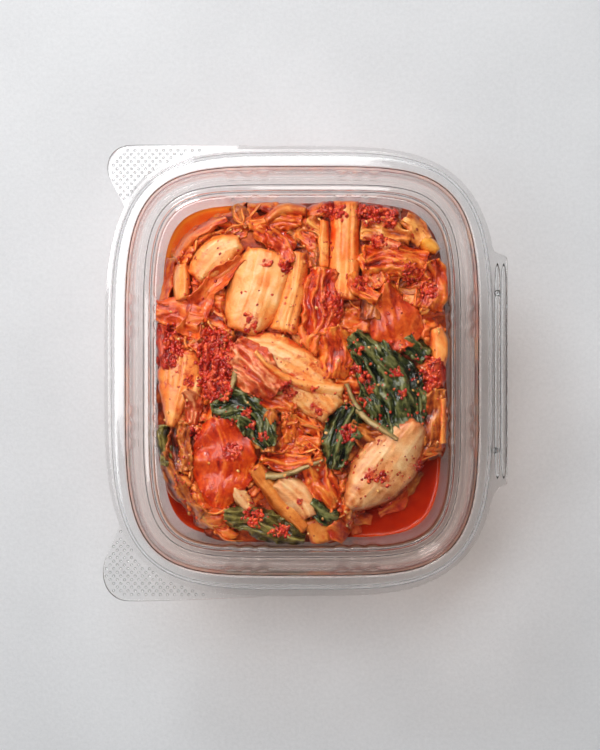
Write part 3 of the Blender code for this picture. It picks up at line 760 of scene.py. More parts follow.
def new_piece(kind, path, widths, dome, seed):
    length = sum(math.dist(a, b) for a, b in zip(path, path[1:]))
    return {"kind": kind, "path": path, "widths": widths, "dome": dome, "length": length, "seed": seed,
            "thick": THICKNESS[kind]}


grid_y, grid_x = np.meshgrid(
    np.arange(-HEAP_HALF_Y, HEAP_HALF_Y + 1.0), np.arange(-HEAP_HALF_X, HEAP_HALF_X + 1.0), indexing="ij")
heap_top = bed_height(grid_x, grid_y)
laid = {}
for number, (name, kind, path, widths, dome) in enumerate(PIECES):
    piece = new_piece(kind, path, widths, dome, 10 * number)
    piece["factors"] = resting_factors(heap_top, 1.0, path, widths, SINK[kind])
    laid[name] = piece
    steps_along, steps_across = max(8, round(piece["length"])), max(6, round(max(widths)))
    share, across = np.meshgrid(
        np.linspace(0.0, 1.0, steps_along + 1), np.linspace(-1.0, 1.0, steps_across + 1), indexing="ij")
    x, y, base = lying(piece, share, across)
    thick = piece["thick"] * (1.0 - 0.45 * np.maximum(np.abs(across), np.abs(2.0 * share - 1.0)) ** 4)
    top = np.minimum(base + thick, ceiling(x, y))
    low = np.maximum(top - thick, BRINE_LEVEL + 2.0 * GAP)
    top = np.maximum(top, low + 0.6 * thick)
    x, y = kept_inside(x, y, low)
    rows, columns = np.rint(y).astype(int) + HEAP_HALF_Y, np.rint(x).astype(int) + HEAP_HALF_X
    np.maximum.at(heap_top, (rows, columns), top)


SMEARS = [
    (-7.0, 43.0, 3.0), (-14.5, 44.0, 2.0), (-21.0, 19.5, 3.5), (28.5, -43.0, 2.6), (33.0, -43.0, 2.0),
    (35.5, -46.0, 2.0), (47.5, -38.5, 2.0), (-28.5, -33.0, 3.6), (-5.0, -7.5, 3.4), (6.5, -17.0, 1.6),
    (4.5, -7.5, 1.4), (4.5, -14.5, 1.4), (-22.5, -17.0, 2.0), (-20.0, -22.0, 1.6), (-16.0, -26.5, 1.8),
    (-29.0, -20.5, 1.6), (18.5, -25.5, 3.4), (23.5, 8.5, 2.0), (22.0, 0.5, 2.0), (25.5, -3.0, 2.0),
    (27.5, -7.5, 2.0), (26.0, -12.5, 2.0), (39.0, -0.5, 2.2), (41.0, -9.5, 1.8), (36.0, 12.5, 1.8),
    (-1.0, -53.0, 1.4), (31.0, 53.0, 3.0), (-57.0, 12.0, 5.0), (-52.0, 9.0, 4.0), (-46.0, -4.0, 2.0),
    (12.0, 28.0, 5.0), (24.0, 36.0, 3.0), (45.0, 40.0, 4.0), (52.0, 33.0, 4.0), (-20.0, -60.0, 4.0),
    (-9.0, -66.0, 4.0), (28.0, 64.0, 4.0), (36.0, 62.0, 3.0), (14.0, 66.0, 3.0), (-44.0, -25.0, 2.5),
]


def smeared(x, y, spread=1.0):
    """1 in the middle of the nearest smear of paste, falling to 0 beyond its edge."""
    near = np.zeros_like(x)
    for middle_x, middle_y, radius in SMEARS:
        away = ((x - middle_x) ** 2 + (y - middle_y) ** 2) / (spread * radius) ** 2
        near = np.maximum(near, np.exp(-(away**1.5)))
    return near


def belongs_to_heap(piece):
    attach(piece, TUB_BODY)
    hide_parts("kimchi_heap")


# The imported bed
# Smaller cabbage pressed together fills the tub under the pieces that show and
# up against its walls. It is one solid, painted dark, darkest in its hollows, as shade in the gaps.
BED_ANGLES = 300
BED_RINGS = 90
WALL_CONTACT = 0.5
LOW_SIDES = (52.0, 95.0)
LOW_SPREAD = 26.0
BED_BELOW = 1.2
BED_RELIEF = 1.6
BED_TONES = ("#2C0A04", "#641C08", "#A63A12", "#DC6C2C")
BED_FOLDS = ((7.0, 0.5), (3.0, 0.35), (1.6, 0.2))
BED_SIDE_RINGS = 25
FINE_CELL = 0.5
TONE_PLACES = (0.05, 0.32, 0.6, 0.95)
STAIN_SIZE = 2.6
PORE_SIZE = 0.8


def gradient_noise(x, y, seed):
    """Smooth noise from about -1 to 1, one bump for each unit of x and y."""
    table = np.random.default_rng(seed).uniform(0.0, 2.0 * math.pi, 1024)
    i, j = np.floor(x).astype(int), np.floor(y).astype(int)
    a, b = x - i, y - j

    def corner(di, dj):
        turn = table[((i + di) * 73 + (j + dj) * 179) % 1024]
        return np.cos(turn) * (a - di) + np.sin(turn) * (b - dj)

    fade_a, fade_b = a * a * a * (a * (a * 6 - 15) + 10), b * b * b * (b * (b * 6 - 15) + 10)
    low = corner(0, 0) * (1 - fade_a) + corner(1, 0) * fade_a
    high = corner(0, 1) * (1 - fade_a) + corner(1, 1) * fade_a
    return 1.5 * (low * (1 - fade_b) + high * fade_b)


def crests(x, y, seed):
    """Creased noise: thin raised folds at 1, broad hollows towards -1."""
    return 1.0 - 2.4 * np.abs(gradient_noise(x, y, seed))


def seasoned(name, tones, stain, roughness, scatter=0.1, coat=0.2, tone_size=4.0, relief_depth=0.35):
    """Wet seasoned leaf or stem: tones from hollow to crest, and smears of chili oil.

    The hollow-to-crest channel runs from hollow to fold: its dark hollows are partly painted shade and its
    pale crests partly painted highlight. 'stain' is where the oil sits.
    """
    surface, tree = new_material(name)
    high = add_node(tree, "ShaderNodeAttribute", {"attribute_name": "crest"})
    oily = add_node(tree, "ShaderNodeAttribute", {"attribute_name": "stain"})
    mottle = noise_texture(tree, tone_size, {"Detail": 5.0, "Roughness": 0.7, "Distortion": 0.6})
    shifted = add_node(tree, "ShaderNodeMath", {"operation": "MULTIPLY_ADD", 1: 1.5, 2: -0.77},
                       {0: (mottle, "Fac")})
    level = add_node(tree, "ShaderNodeMath", {"operation": "ADD"}, {0: (high, "Fac"), 1: (shifted, 0)})
    tone = colour_ramp(tree, (level, 0), list(zip(TONE_PLACES, tones)))
    smears = noise_texture(tree, STAIN_SIZE, {"Detail": 6.0, "Roughness": 0.72, "Distortion": 1.2})
    oiliness = add_node(tree, "ShaderNodeMath", {"operation": "ADD"}, {0: (oily, "Fac"), 1: (smears, "Fac")})
    covered = add_node(tree, "ShaderNodeMapRange", {"From Min": 0.81, "From Max": 0.99, "To Max": 0.85},
                       {"Value": (oiliness, 0)})
    stained = add_node(tree, "ShaderNodeMix", {"data_type": "RGBA", 7: linear(stain)},
                       {0: (covered, 0), 6: (tone, "Color")})
    pores = noise_texture(tree, PORE_SIZE, {"Detail": 3.0, "Roughness": 0.6})
    relief = fine_relief(tree, pores, relief_depth, 0.4)
    finish_surface(tree, {"Roughness": roughness, "IOR": 1.36, "Coat Weight": coat, "Coat Roughness": 0.09,
                          "Subsurface Weight": scatter, "Subsurface Scale": 0.0014,
                          "Subsurface Radius": (1.0, 0.4, 0.15)},
                   {"Base Color": (stained, 2), "Normal": (relief, 0)})
    return surface


bed_finish = seasoned("pressed_cabbage", BED_TONES, "#7C1A0A", 0.4, 0.0, coat=0.0, tone_size=7.0)
turn = np.linspace(0.0, 2.0 * math.pi, BED_ANGLES, endpoint=False)


def bed_wall(level):
    """The bed's side: against the PET, or standing back from it where brine shows."""
    return ring_reach(turn, profile_half(level)) - WALL_CONTACT * PET_WALL - pool_width(turn)


share = np.repeat(np.linspace(0.0, 1.0, BED_RINGS)[:, None], BED_ANGLES, axis=1)
reach = bed_wall(BED_EDGE)
x, y = share * reach * np.cos(turn), share * reach * np.sin(turn)
folds = sum(deep * crests(x / size, y / size, 401 + i) for i, (size, deep) in enumerate(BED_FOLDS))
bed_level = BED_EDGE + BED_RISE * (1.0 - share * share) - BED_BELOW
height = np.minimum(bed_level, grid_height(heap_top, x, y, 1.0) - BED_BELOW)
height = height + BED_RELIEF * (folds - 0.7) * (1.0 - share**12)
low_side = np.maximum.reduce(
    [np.exp(-(((np.degrees(turn) - middle) / LOW_SPREAD) ** 2)) for middle in LOW_SIDES])
shoulder = 2.5 + 1.5 * gradient_noise(turn * 5.0, 0.0 * turn, 404) + 5.5 * low_side
height = np.where(share > 0.98, np.minimum(height, bed_level), height)
height = height - shoulder * smoothstep(0.88, 1.0, share)
reach = np.minimum(share * reach, bed_wall(height))
x, y = reach * np.cos(turn), reach * np.sin(turn)
rings = [np.stack([x[i], y[i], height[i]], axis=-1) for i in range(1, BED_RINGS)]
# Painted shade: the bed's hollows get a lower level, so its tones come out darker.
crest_rings = [0.35 + 0.45 * folds[i] for i in range(1, BED_RINGS)]
for step in np.linspace(0.0, 1.0, BED_SIDE_RINGS + 1)[1:]:
    level = height[-1] * (1.0 - step) + (FLOOR_TOP + 0.3) * step
    hollows = 0.6 * crests(turn * 6.0, level / 7.0, 405) + 0.2 * crests(turn * 22.0, level / 4.0, 406)
    wall = bed_wall(level) - np.clip(0.1 - hollows, 0.0, 1.2)
    rings.append(np.stack([wall * np.cos(turn), wall * np.sin(turn), level], axis=-1))
    # Painted shade in the side's hollows, with random tone.
    crest_rings.append(0.6 + 0.3 * hollows + 0.4 * gradient_noise(turn * 7.0, level / 9.0, 407))
faces = ring_faces(len(rings), BED_ANGLES)
last = (len(rings) - 1) * BED_ANGLES
faces += [tuple(range(BED_ANGLES)), tuple(reversed(range(last, last + BED_ANGLES)))]
bed = mesh_object("packed_bed", np.concatenate(rings), faces, bed_finish)
set_channel(bed.data, "crest", np.concatenate(crest_rings))
set_channel(bed.data, "stain", np.full(len(rings) * BED_ANGLES, 0.2))
belongs_to_heap(bed)

fine_y, fine_x = np.meshgrid(
    np.arange(-HEAP_HALF_Y, HEAP_HALF_Y + FINE_CELL, FINE_CELL),
    np.arange(-HEAP_HALF_X, HEAP_HALF_X + FINE_CELL, FINE_CELL), indexing="ij")
fine_top = np.where(np.hypot(fine_x, fine_y) < inside_reach(np.arctan2(fine_y, fine_x), BED_EDGE),
                    bed_height(fine_x, fine_y) - 1.5, BRINE_LEVEL)
named = np.zeros_like(fine_top)


# Cabbage stems
# The thick white ribs of napa cabbage, cut into slabs. They stay firm, pale and
# translucent, with fine fibres along them, and take up chili oil at their edges.
STEM_STEP = 0.5
FIBRE_PITCH = 1.6
STEM_TONES = {
    "cream": ("#DC4E18", "#EC8438", "#F5AC62", "#FBCB94"),
    "peach": ("#DE4A14", "#F07A33", "#FA9D4C", "#FEBE74"),
    "ribbed": ("#D6390E", "#EC6320", "#F69343", "#FEBC6B"),
    "tan": ("#7C280C", "#BC581E", "#DC7E33", "#F4A753"),
    # A darker copy of the cream stem: painted shade for pieces near the bottom, far from the lamp.
    "shaded": ("#8C3414", "#C87038", "#E8A468", "#F8CE98"),
    "yellow": ("#C8500B", "#E88420", "#F6A539", "#FCC060"),
}
# The stems near the bottom take the darker copy, painted shade.
STEM_LOOKS = {
    "tan_top": ("tan", 0.3, 0.6), "blob_right": ("yellow", 0.2, 0.3),
    "block_left": ("peach", 0.25, 0.5), "curl_left": ("tan", 0.1, 0.5),
    "cream_right": ("peach", 0.2, 0.3), "strip_right": ("peach", 0.25, 0.2),
    "tan_low": ("tan", 0.15, 0.8), "fibre_low": ("shaded", 0.15, 1.2), "radish_low": ("tan", 0.22, 0.3),
    "rib_left": ("cream", 0.2, 0.5), "cream_left": ("peach", 0.26, 0.4),
    "cream_low": ("shaded", 0.2, 1.0), "cream_upper_left": ("cream", 0.25, 0.3),
    "rib_top": ("ribbed", 0.22, 0.8), "ribbed_top": ("ribbed", 0.2, 0.7),
    "peach_middle": ("peach", 0.24, 0.8), "cream_big": ("cream", 0.14, 0.25),
    "cream_lower_right": ("shaded", 0.2, 0.12), "leaf_central": ("cream", 0.27, 0.9),
}
PILLOW_EDGE = 3.4
HALO = 0.22
TUCK = 0.7
RIB_PITCH = 2.8


def edge_distance(piece, share, across):
    """Millimetres from each point to the nearest edge of the piece."""
    along = np.minimum(share, 1.0 - share) * piece["length"]
    half = 0.5 * between(piece["widths"], share)
    return np.minimum(along, (1.0 - np.abs(across)) * half)


def piece_grid(piece, step):
    count_along = max(12, round(piece["length"] / step))
    count_across = max(8, round(max(piece["widths"]) / step))
    return np.meshgrid(
        np.linspace(0.0, 1.0, count_along), np.linspace(-1.0, 1.0, count_across), indexing="ij")


def torn_edges(piece, share, across, ragged):
    """Shares and places across, moved so that the outline is uneven, in millimetres."""
    along = share * piece["length"]
    side = np.sign(across) * 3.0
    seed = piece["seed"]
    uneven = gradient_noise(along / 7.0, side, seed) + 0.5 * gradient_noise(along / 2.4, side, seed + 1)
    width = np.maximum(between(piece["widths"], share), 1.0)
    wide = across * (1.0 + np.clip(ragged * uneven * 2.0 / width, -0.5, 0.7))
    end = np.sign(share - 0.5) * 5.0
    cut = gradient_noise(across * width / 7.0, end, seed + 2)
    cut = cut + 0.4 * gradient_noise(across * width / 3.5, end, seed)
    long = share + (2.0 * share - 1.0) * ragged * cut / piece["length"]
    return np.clip(long, -0.04, 1.04), wide


def settle(x, y, top, low, tucked=False):
    """Keeps a piece under the lid, above the brine and inside the tub, or tucks it under larger ones."""
    over = np.maximum(0.0, top - ceiling(x, y))
    if tucked:
        spot = (*kept_inside(x, y, low), FINE_CELL)
        covered = smoothstep(0.3, 0.8, grid_height(named, *spot))
        over = np.maximum(over, covered * (top - grid_height(fine_top, *spot) + TUCK))
    top, low = top - over, low - over
    low = np.maximum(low, BRINE_LEVEL + 2.0 * GAP)
    top = np.maximum(top, low + 0.2)
    x, y = kept_inside(x, y, low)
    rows = np.rint((y + HEAP_HALF_Y) / FINE_CELL).astype(int)
    columns = np.rint((x + HEAP_HALF_X) / FINE_CELL).astype(int)
    np.maximum.at(fine_top, (rows, columns), top)
    if not tucked:
        named[rows, columns] = 1.0
    return x, y, top, low


def filled(heights):
    """The heights with single empty cells closed by their neighbours."""
    for axis in (0, 1):
        heights = np.maximum(heights, np.minimum(np.roll(heights, 1, axis), np.roll(heights, -1, axis)))
    return heights


def joined_sheets(name, sheets, material):
    """One object from closed sheets, each a grid of plan points, heights and channels."""
    points, quads, crest, stain = [], [], [], []
    start = 0
    for x, y, top, low, high, oily in sheets:
        rows, columns = x.shape
        count = rows * columns
        points += [np.stack([x, y, height], axis=-1).reshape(-1, 3) for height in (top, low)]
        index = np.arange(count).reshape(rows, columns) + start
        a, b, c, d = index[:-1, :-1], index[1:, :-1], index[1:, 1:], index[:-1, 1:]
        quads.append(np.stack([a, b, c, d], axis=-1).reshape(-1, 4))
        quads.append(np.stack([d, c, b, a], axis=-1).reshape(-1, 4) + count)
        border = np.concatenate([index[:-1, 0], index[-1, :-1], index[:0:-1, -1], index[0, :0:-1]])
        ahead = np.roll(border, -1)
        quads.append(np.stack([border, border + count, ahead + count, ahead], axis=-1))
        crest += [high.ravel(), high.ravel()]
        stain += [oily.ravel(), oily.ravel()]
        start += 2 * count
    made = mesh_object(name, np.concatenate(points), np.concatenate(quads).tolist(), material)
    set_channel(made.data, "crest", np.concatenate(crest))
    set_channel(made.data, "stain", np.concatenate(stain))
    belongs_to_heap(made)


def stem_sheet(piece, oil, ribbed, step=STEM_STEP):
    share, across = piece_grid(piece, step)
    seed = piece["seed"] + 3
    along = share * piece["length"]
    side = across * 0.5 * between(piece["widths"], share)
    x, y, base = lying(piece, *torn_edges(piece, share, across, 0.7))
    fibres = gradient_noise(along / 24.0, side / FIBRE_PITCH, seed)
    fibres = fibres + 0.5 * gradient_noise(along / 14.0, side / (0.5 * FIBRE_PITCH), seed + 1)
    waves = gradient_noise(along / 9.0, side / 6.0, seed + 2)
    dents = gradient_noise(along / 3.0, side / 2.4, seed + 3)
    away = edge_distance(piece, share, across)
    pillow = min(PILLOW_EDGE, 0.3 * max(piece["widths"]))
    rounding = np.sqrt(1.0 - (1.0 - np.clip(away / pillow, 0.0, 1.0)) ** 2)
    ribs = crests(along / 45.0, side / RIB_PITCH, seed + 5)
    relief = 0.05 * piece["thick"] * (0.7 * fibres + 2.0 * waves + 0.6 * dents + 4.0 * ribbed * ribs)
    top = base + piece["thick"] * (0.1 + 0.9 * rounding) + relief - 0.25 * np.exp(-away)
    low = base - 0.25 * np.exp(-away)
    x, y, top, low = settle(x, y, top, low, piece["kind"] == "shred")
    patches = gradient_noise(along / 6.0 + 40.0, side / 5.0, seed + 4)
    streaks = gradient_noise(along / 18.0, side / 2.0 + 20.0, seed + 6)
    stain = oil + 0.12 * patches + 0.08 * streaks + 0.16 * np.exp(-away / 0.9) + HALO * smeared(x, y, 1.5)
    # Tone and painted shading: fibres, waves and ribs lighter on their crests, edges darker and redder,
    # partly the stem's own stain, partly painted shade and highlight.
    crest = 0.68 + 0.11 * fibres + 0.16 * waves + 0.14 * ribbed * ribs
    crest = crest - 0.42 * np.exp(-away / (0.7 * pillow))
    return x, y, top, low, crest, stain


stem_finishes = {
    look: seasoned("napa_stem_" + look, tones, "#C8280A", 0.28, 0.25, coat=0.5, tone_size=7.0,
                   relief_depth=0.2)
    for look, tones in STEM_TONES.items()
}
for name, (look, oil, ribbed) in STEM_LOOKS.items():
    joined_sheets("stem_" + name, [stem_sheet(laid[name], oil, ribbed)], stem_finishes[look])


# Cabbage leaves
# The thin, ruffled ends of the same cabbage, limp and soaked with chili. Each
# is a sheet about a millimetre thick, crumpled over what it lies on.
LEAF_STEP = 0.45
LEAF_TONES = {
    "orange": ("#751404", "#B83009", "#DA5415", "#EE8A33"),
    "salmon": ("#A12106", "#C53C0E", "#E05E1D", "#EE863C"),
    "red": ("#780D05", "#B62309", "#D34615", "#EE8133"),
    "brown": ("#390D05", "#752309", "#AC4B17", "#D78135"),
    "pale": ("#842B0B", "#C0571F", "#DE833A", "#F1AB59"),
    "glossy": ("#841406", "#C22C06", "#DE500C", "#F49038"),
    "pink": ("#94200C", "#BE3C1A", "#D65C2C", "#F09C68"),
}
LEAF_LOOKS = {
    "film_top": ("orange", 0.2, 1.0), "tan_gap": ("pale", 0.1, 1.0), "folded_top": ("red", 0.15, 1.2),
    "fold_right": ("pale", 0.15, 1.4), "pale_right": ("pale", 0.05, 0.8),
    "ruffle_right": ("orange", 0.2, 1.5), "patch_right": ("brown", 0.1, 0.5),
    "fold_middle": ("orange", 0.2, 1.2), "salmon_left": ("salmon", 0.15, 0.7),
    "veined_left": ("brown", 0.1, 0.9), "brown_left": ("brown", 0.05, 1.4),
    "brown_right": ("brown", 0.1, 0.9), "dark_middle": ("brown", 0.1, 1.0),
    "crinkled_low": ("orange", 0.1, 1.4), "red_low": ("red", 0.2, 1.0),
    "tan_middle": ("brown", 0.0, 1.1), "glossy_left": ("glossy", 0.22, 0.18),
    "red_ridged": ("red", 0.25, 1.3), "trough_left": ("salmon", 0.1, 0.5),
    "roll_right": ("orange", 0.15, 1.1), "salmon_right": ("salmon", 0.17, 0.28),
    "folded_middle": ("orange", 0.1, 1.1), "wrinkled_middle": ("orange", 0.1, 1.2),
}


def leaf_sheet(piece, oil, crumple, step=LEAF_STEP):
    share, across = piece_grid(piece, step)
    seed = piece["seed"] + 3
    along = share * piece["length"]
    side = across * 0.5 * between(piece["widths"], share)
    x, y, base = lying(piece, *torn_edges(piece, share, across, 1.5))
    bend_a = 2.4 * gradient_noise(along / 8.0, side / 8.0, seed)
    bend_b = 2.4 * gradient_noise(along / 8.0 + 30.0, side / 8.0, seed + 1)
    broad = crests((along + bend_a) / 17.0, (side + 0.8 * bend_b) / 4.0, seed + 2)
    middle = crests((along + bend_b) / 10.0, (side + 0.6 * bend_a) / 2.0, seed + 3)
    fine = crests((along + bend_b) / 4.5, (side + 0.5 * bend_a) / 1.0, seed + 4)
    folds = 0.8 * broad + 0.5 * middle + 0.2 * fine
    away = edge_distance(piece, share, across)
    ruffle = np.sin(2.0 * math.pi * along / 5.5 + 2.0 * bend_a) * np.exp(-away / 1.8)
    curl = gradient_noise(along / 9.0, np.sign(across) * 4.0, seed + 5) * np.abs(across) ** 3
    rounding = np.sqrt(1.0 - (1.0 - np.clip(away / 0.6, 0.0, 1.0)) ** 2)
    surface = base + crumple * (folds + 0.6 * ruffle + 0.9 * curl)
    top = surface + piece["thick"] * (0.35 + 0.65 * rounding)
    x, y, top, low = settle(x, y, top, surface, piece["kind"] == "scrap")
    stain = oil + 0.16 * gradient_noise(along / 5.0, side / 4.0 + 50.0, seed + 6) + 0.06 * np.exp(-away)
    stain = stain + HALO * smeared(x, y, 1.5)
    midrib = np.exp(-(((side + 0.3 * bend_b) / 0.7) ** 2)) * (1.0 - share)
    # Painted shade and highlight: fold hollows darker and crests paler, with the midrib the leaf's own paler
    # rib.
    contrast = min(1.0, 0.35 + 0.65 * crumple)
    crest = 0.38 + 0.44 * contrast * folds + 0.12 * ruffle + 0.35 * midrib
    return x, y, top, low, crest, stain


leaf_finishes = {
    look: seasoned("napa_leaf_" + look, tones, "#A8160A", 0.3, 0.08, coat=0.6, tone_size=3.0)
    for look, tones in LEAF_TONES.items()
}
for name, (look, oil, crumple) in LEAF_LOOKS.items():
    joined_sheets("leaf_" + name, [leaf_sheet(laid[name], oil, crumple)], leaf_finishes[look])


# Leaf folds on top
# The widest stem still has its ruffled leaf at one end and a pale midrib. Thin
# folds of the same leaves lie over the heap and along its left side.
OVERLAYS = [
    ("ruffle_central", [(-29, 10), (-20, 1), (-10, -9)], [12, 20, 11], 1.5, "pink", 0.2, 1.2),
    ("fold_pink", [(25, 55), (32, 53), (40, 51)], [3, 5, 4], 1.0, "pink", 0.05, 0.8),
    ("fold_upper", [(-14, 57), (-8, 51), (-5, 44)], [4, 7, 5], 1.0, "red", 0.1, 1.1),
    ("curl_middle", [(20, 40), (24, 33), (31, 29)], [4, 8, 5], 1.5, "orange", 0.1, 1.2),
    ("fold_low", [(-16, -36), (-6, -38), (4, -36)], [4, 8, 5], 1.5, "orange", 0.1, 1.2),
    ("edge_upper", [(-31, 63), (-44, 57), (-53, 47)], [4, 6, 5], 0.5, "salmon", 0.2, 0.8),
    ("edge_left", [(-54, 47), (-57, 37), (-58, 27)], [5, 7, 6], 0.5, "orange", 0.15, 0.8),
    ("edge_low", [(-57, -33), (-52, -47), (-41, -60)], [5, 8, 6], 0.5, "brown", 0.2, 1.0),
    ("fold_left", [(-48, -8), (-44, -14), (-45, -22)], [4, 8, 5], 1.0, "pink", 0.1, 1.0),
]
MIDRIB = ([(-19, 8), (-11, 0), (-1, -5), (17, -8)], [2.2, 3.2, 4.4, 6.5], 1.4)


def laid_over(kind, path, widths, dome, seed):
    """A further piece, lying on everything already laid."""
    piece = new_piece(kind, path, widths, dome, seed)
    piece["factors"] = resting_factors(filled(fine_top), FINE_CELL, path, widths, SINK[kind])
    return piece


for number, (name, path, widths, dome, look, oil, crumple) in enumerate(OVERLAYS):
    piece = laid_over("leaf", path, widths, dome, 1000 + 10 * number)
    joined_sheets("leaf_" + name, [leaf_sheet(piece, oil, crumple)], leaf_finishes[look])
joined_sheets("stem_midrib", [stem_sheet(laid_over("rib", *MIDRIB, 1100), 0.1, 1.0)], stem_finishes["cream"])


# Mustard greens
# Dark green leaves pickled with the cabbage, folded into wet bundles with fine
# creases. They lie on top and hold flakes of chili.
GREEN_TONES = ("#0B0F05", "#1C2410", "#363F1A", "#7C7C46")
OLIVE_TONES = ("#150F07", "#33260E", "#544A1C", "#8E8244")
green_finish = seasoned("pickled_greens", GREEN_TONES, "#5A1E10", 0.24, 0.0, coat=0.8, tone_size=3.0)
olive_finish = seasoned("pickled_greens_olive", OLIVE_TONES, "#7A2C0C", 0.28, 0.0, coat=0.5, tone_size=3.0)
for name, finish, oil, crumple in (
        ("dark_right", green_finish, 0.0, 1.0), ("green_left", green_finish, 0.0, 1.3),
        ("green_right", green_finish, 0.0, 1.6), ("green_middle", green_finish, 0.0, 1.3),
        ("green_low_right", green_finish, 0.05, 1.2), ("green_low", olive_finish, 0.1, 1.5),
        ("olive_left", olive_finish, 0.0, 1.0)):
    joined_sheets("leaf_" + name, [leaf_sheet(laid[name], oil, crumple)], finish)


# Stalks
# Thin olive stalks of the greens, limp and twisted, lying over the leaves.
STALK_TONES = ("#4A3416", "#84683A", "#A88E58", "#D0B888")
stalk_finish = seasoned("pickled_stalk", STALK_TONES, "#B04A18", 0.3, 0.1, coat=0.4)
for name in ("stalk_left", "stalk_low", "stalk_right", "strip_olive"):
    joined_sheets("stem_" + name, [stem_sheet(laid[name], 0.0, 0.3, 0.35)], stalk_finish)


# Chili paste
# Coarse ground chili with garlic in dark red crumbly clumps between the leaves.
PASTE_TONES = ("#4E0605", "#8E120B", "#B82A16", "#DC5A34")
paste_finish = seasoned("chili_paste", PASTE_TONES, "#7A0A05", 0.3, 0.0, coat=0.5, tone_size=2.0)
CLUMPS = ("chili_top", "chili_top_right", "chili_left", "crumble_left", "chili_right")
for name in CLUMPS:
    joined_sheets("paste_" + name, [leaf_sheet(laid[name], 0.2, 1.2)], paste_finish)


# Scraps and shreds between the pieces
# Small torn bits of the same leaves and thin shreds of stem, pushed by the
# mixing into every gap. Each lies on what is under it.
SCRAPS = {"count": 150, "long": (8.0, 17.0), "wide": (3.5, 8.0), "above": 3.0, "carried": 25, "seed": 11}
SHREDS = {"count": 40, "long": (8.0, 16.0), "wide": (0.9, 1.6), "above": 4.5, "carried": 60, "seed": 12}
MOST_TRIES = 20000
SCRAP_LOOKS = ("orange", "red", "brown", "salmon", "pale")
SCRAP_CHANCES = (0.32, 0.24, 0.22, 0.14, 0.08)


def strewn(kind, rule):
    """Small pieces at random places, where the heap is low, lying along with their neighbours."""
    draw = np.random.default_rng(rule["seed"])
    found = 0
    for number in range(MOST_TRIES):
        angle = draw.uniform(0.0, 2.0 * math.pi)
        reach = core_reach(np.array([angle]), BRINE_LEVEL)[0] + 1.0
        distance = math.sqrt(draw.uniform(0.0, 1.0)) * reach
        x, y = distance * math.cos(angle), distance * math.sin(angle)
        spot = (np.array([x]), np.array([y]))
        if found == rule["count"]:
            return
        above = grid_height(fine_top, *spot, FINE_CELL)[0] - bed_height(*spot)[0]
        if above > rule["above"] or grid_height(named, *spot, FINE_CELL)[0] > 0.5:
            continue
        flow = 2.5 * gradient_noise(spot[0] / 30.0, spot[1] / 30.0, rule["seed"])[0]
        heading = flow + draw.uniform(-0.6, 0.6)
        length = draw.uniform(*rule["long"])
        width = draw.uniform(*rule["wide"])
        dx, dy = 0.5 * length * math.cos(heading), 0.5 * length * math.sin(heading)
        bend = draw.uniform(-0.4, 0.4)
        path = [(x - dx, y - dy), (x - dy * bend, y + dx * bend), (x + dx, y + dy)]
        widths = [width * 0.5, width, width * 0.6]
        piece = new_piece(kind, path, widths, draw.uniform(-0.8, 1.2), 2000 + 10 * number)
        piece["factors"] = resting_factors(
            filled(fine_top), FINE_CELL, path, widths, SINK[kind], rule["carried"])
        found += 1
        yield piece


named[:] = filled(named)
scraps = {look: [] for look in SCRAP_LOOKS}
choice = np.random.default_rng(SCRAPS["seed"])
for piece in strewn("scrap", SCRAPS):
    scraps[str(choice.choice(SCRAP_LOOKS, p=SCRAP_CHANCES))].append(leaf_sheet(piece, 0.12, 0.75, 0.6))
for look, sheets in scraps.items():
    joined_sheets("scraps_" + look, sheets, leaf_finishes[look])
shreds = [stem_sheet(piece, 0.1, 0.0, 0.35) for piece in strewn("shred", SHREDS)]
joined_sheets("shreds", shreds, stem_finishes["ribbed"])


# Chili flakes, paste crumbs and seeds
# Coarse chili flakes stick to every wet surface, thickest where paste was
# smeared on. Crumbs of paste stand on the clumps, with a few pale chili seeds.
FLAKE_TONES = ("#9C1208", "#BE200D", "#D63A17", "#EA6630")
FLAKE_PLACES = (0.1, 0.4, 0.7, 0.95)
BIT_SIZE = 1.3
SEED_STAIN = 1.5
CRUMBS = {
    "flakes": {"density": 0.1, "smallest": 0.3, "largest": 0.95, "flat": 0.3, "seed": 5},
    "crumbs": {"density": 0.75, "smallest": 0.35, "largest": 1.5, "flat": 0.55, "seed": 6},
    "seeds": {"density": 0.008, "smallest": 0.75, "largest": 1.0, "flat": 0.45, "seed": 7},
}

paste_near = smeared(fine_x, fine_y)
for name in CLUMPS:
    share, across = piece_grid(laid[name], 1.5)
    for x, y in zip(*[c.ravel() for c in plan(laid[name]["path"], laid[name]["widths"], share, across)]):
        near = 0.8 * np.exp(-((fine_x - x) ** 2 + (fine_y - y) ** 2) / 1.6**2)
        paste_near = np.maximum(paste_near, near)
clouds = gradient_noise(fine_x / 9.0, fine_y / 9.0, 77)
channels = {
    "flakes": np.clip(0.35 + 0.5 * clouds, 0.1, 1.0) + 1.5 * paste_near,
    "crumbs": np.clip(paste_near * 1.4 - 0.25, 0.0, 1.0),
    "seeds": np.clip(0.4 + 0.8 * clouds, 0.0, 1.0),
}
on_food = np.hypot(fine_x, fine_y) < core_reach(np.arctan2(fine_y, fine_x), BRINE_LEVEL) + 1.0
landing_points = np.stack([fine_x, fine_y, filled(fine_top)], axis=-1).reshape(-1, 3)
index = np.arange(fine_x.size).reshape(fine_x.shape)
quads = np.stack([index[:-1, :-1], index[:-1, 1:], index[1:, 1:], index[1:, :-1]], axis=-1).reshape(-1, 4)
landing_quads = quads[on_food.ravel()[quads].all(axis=1)].tolist()

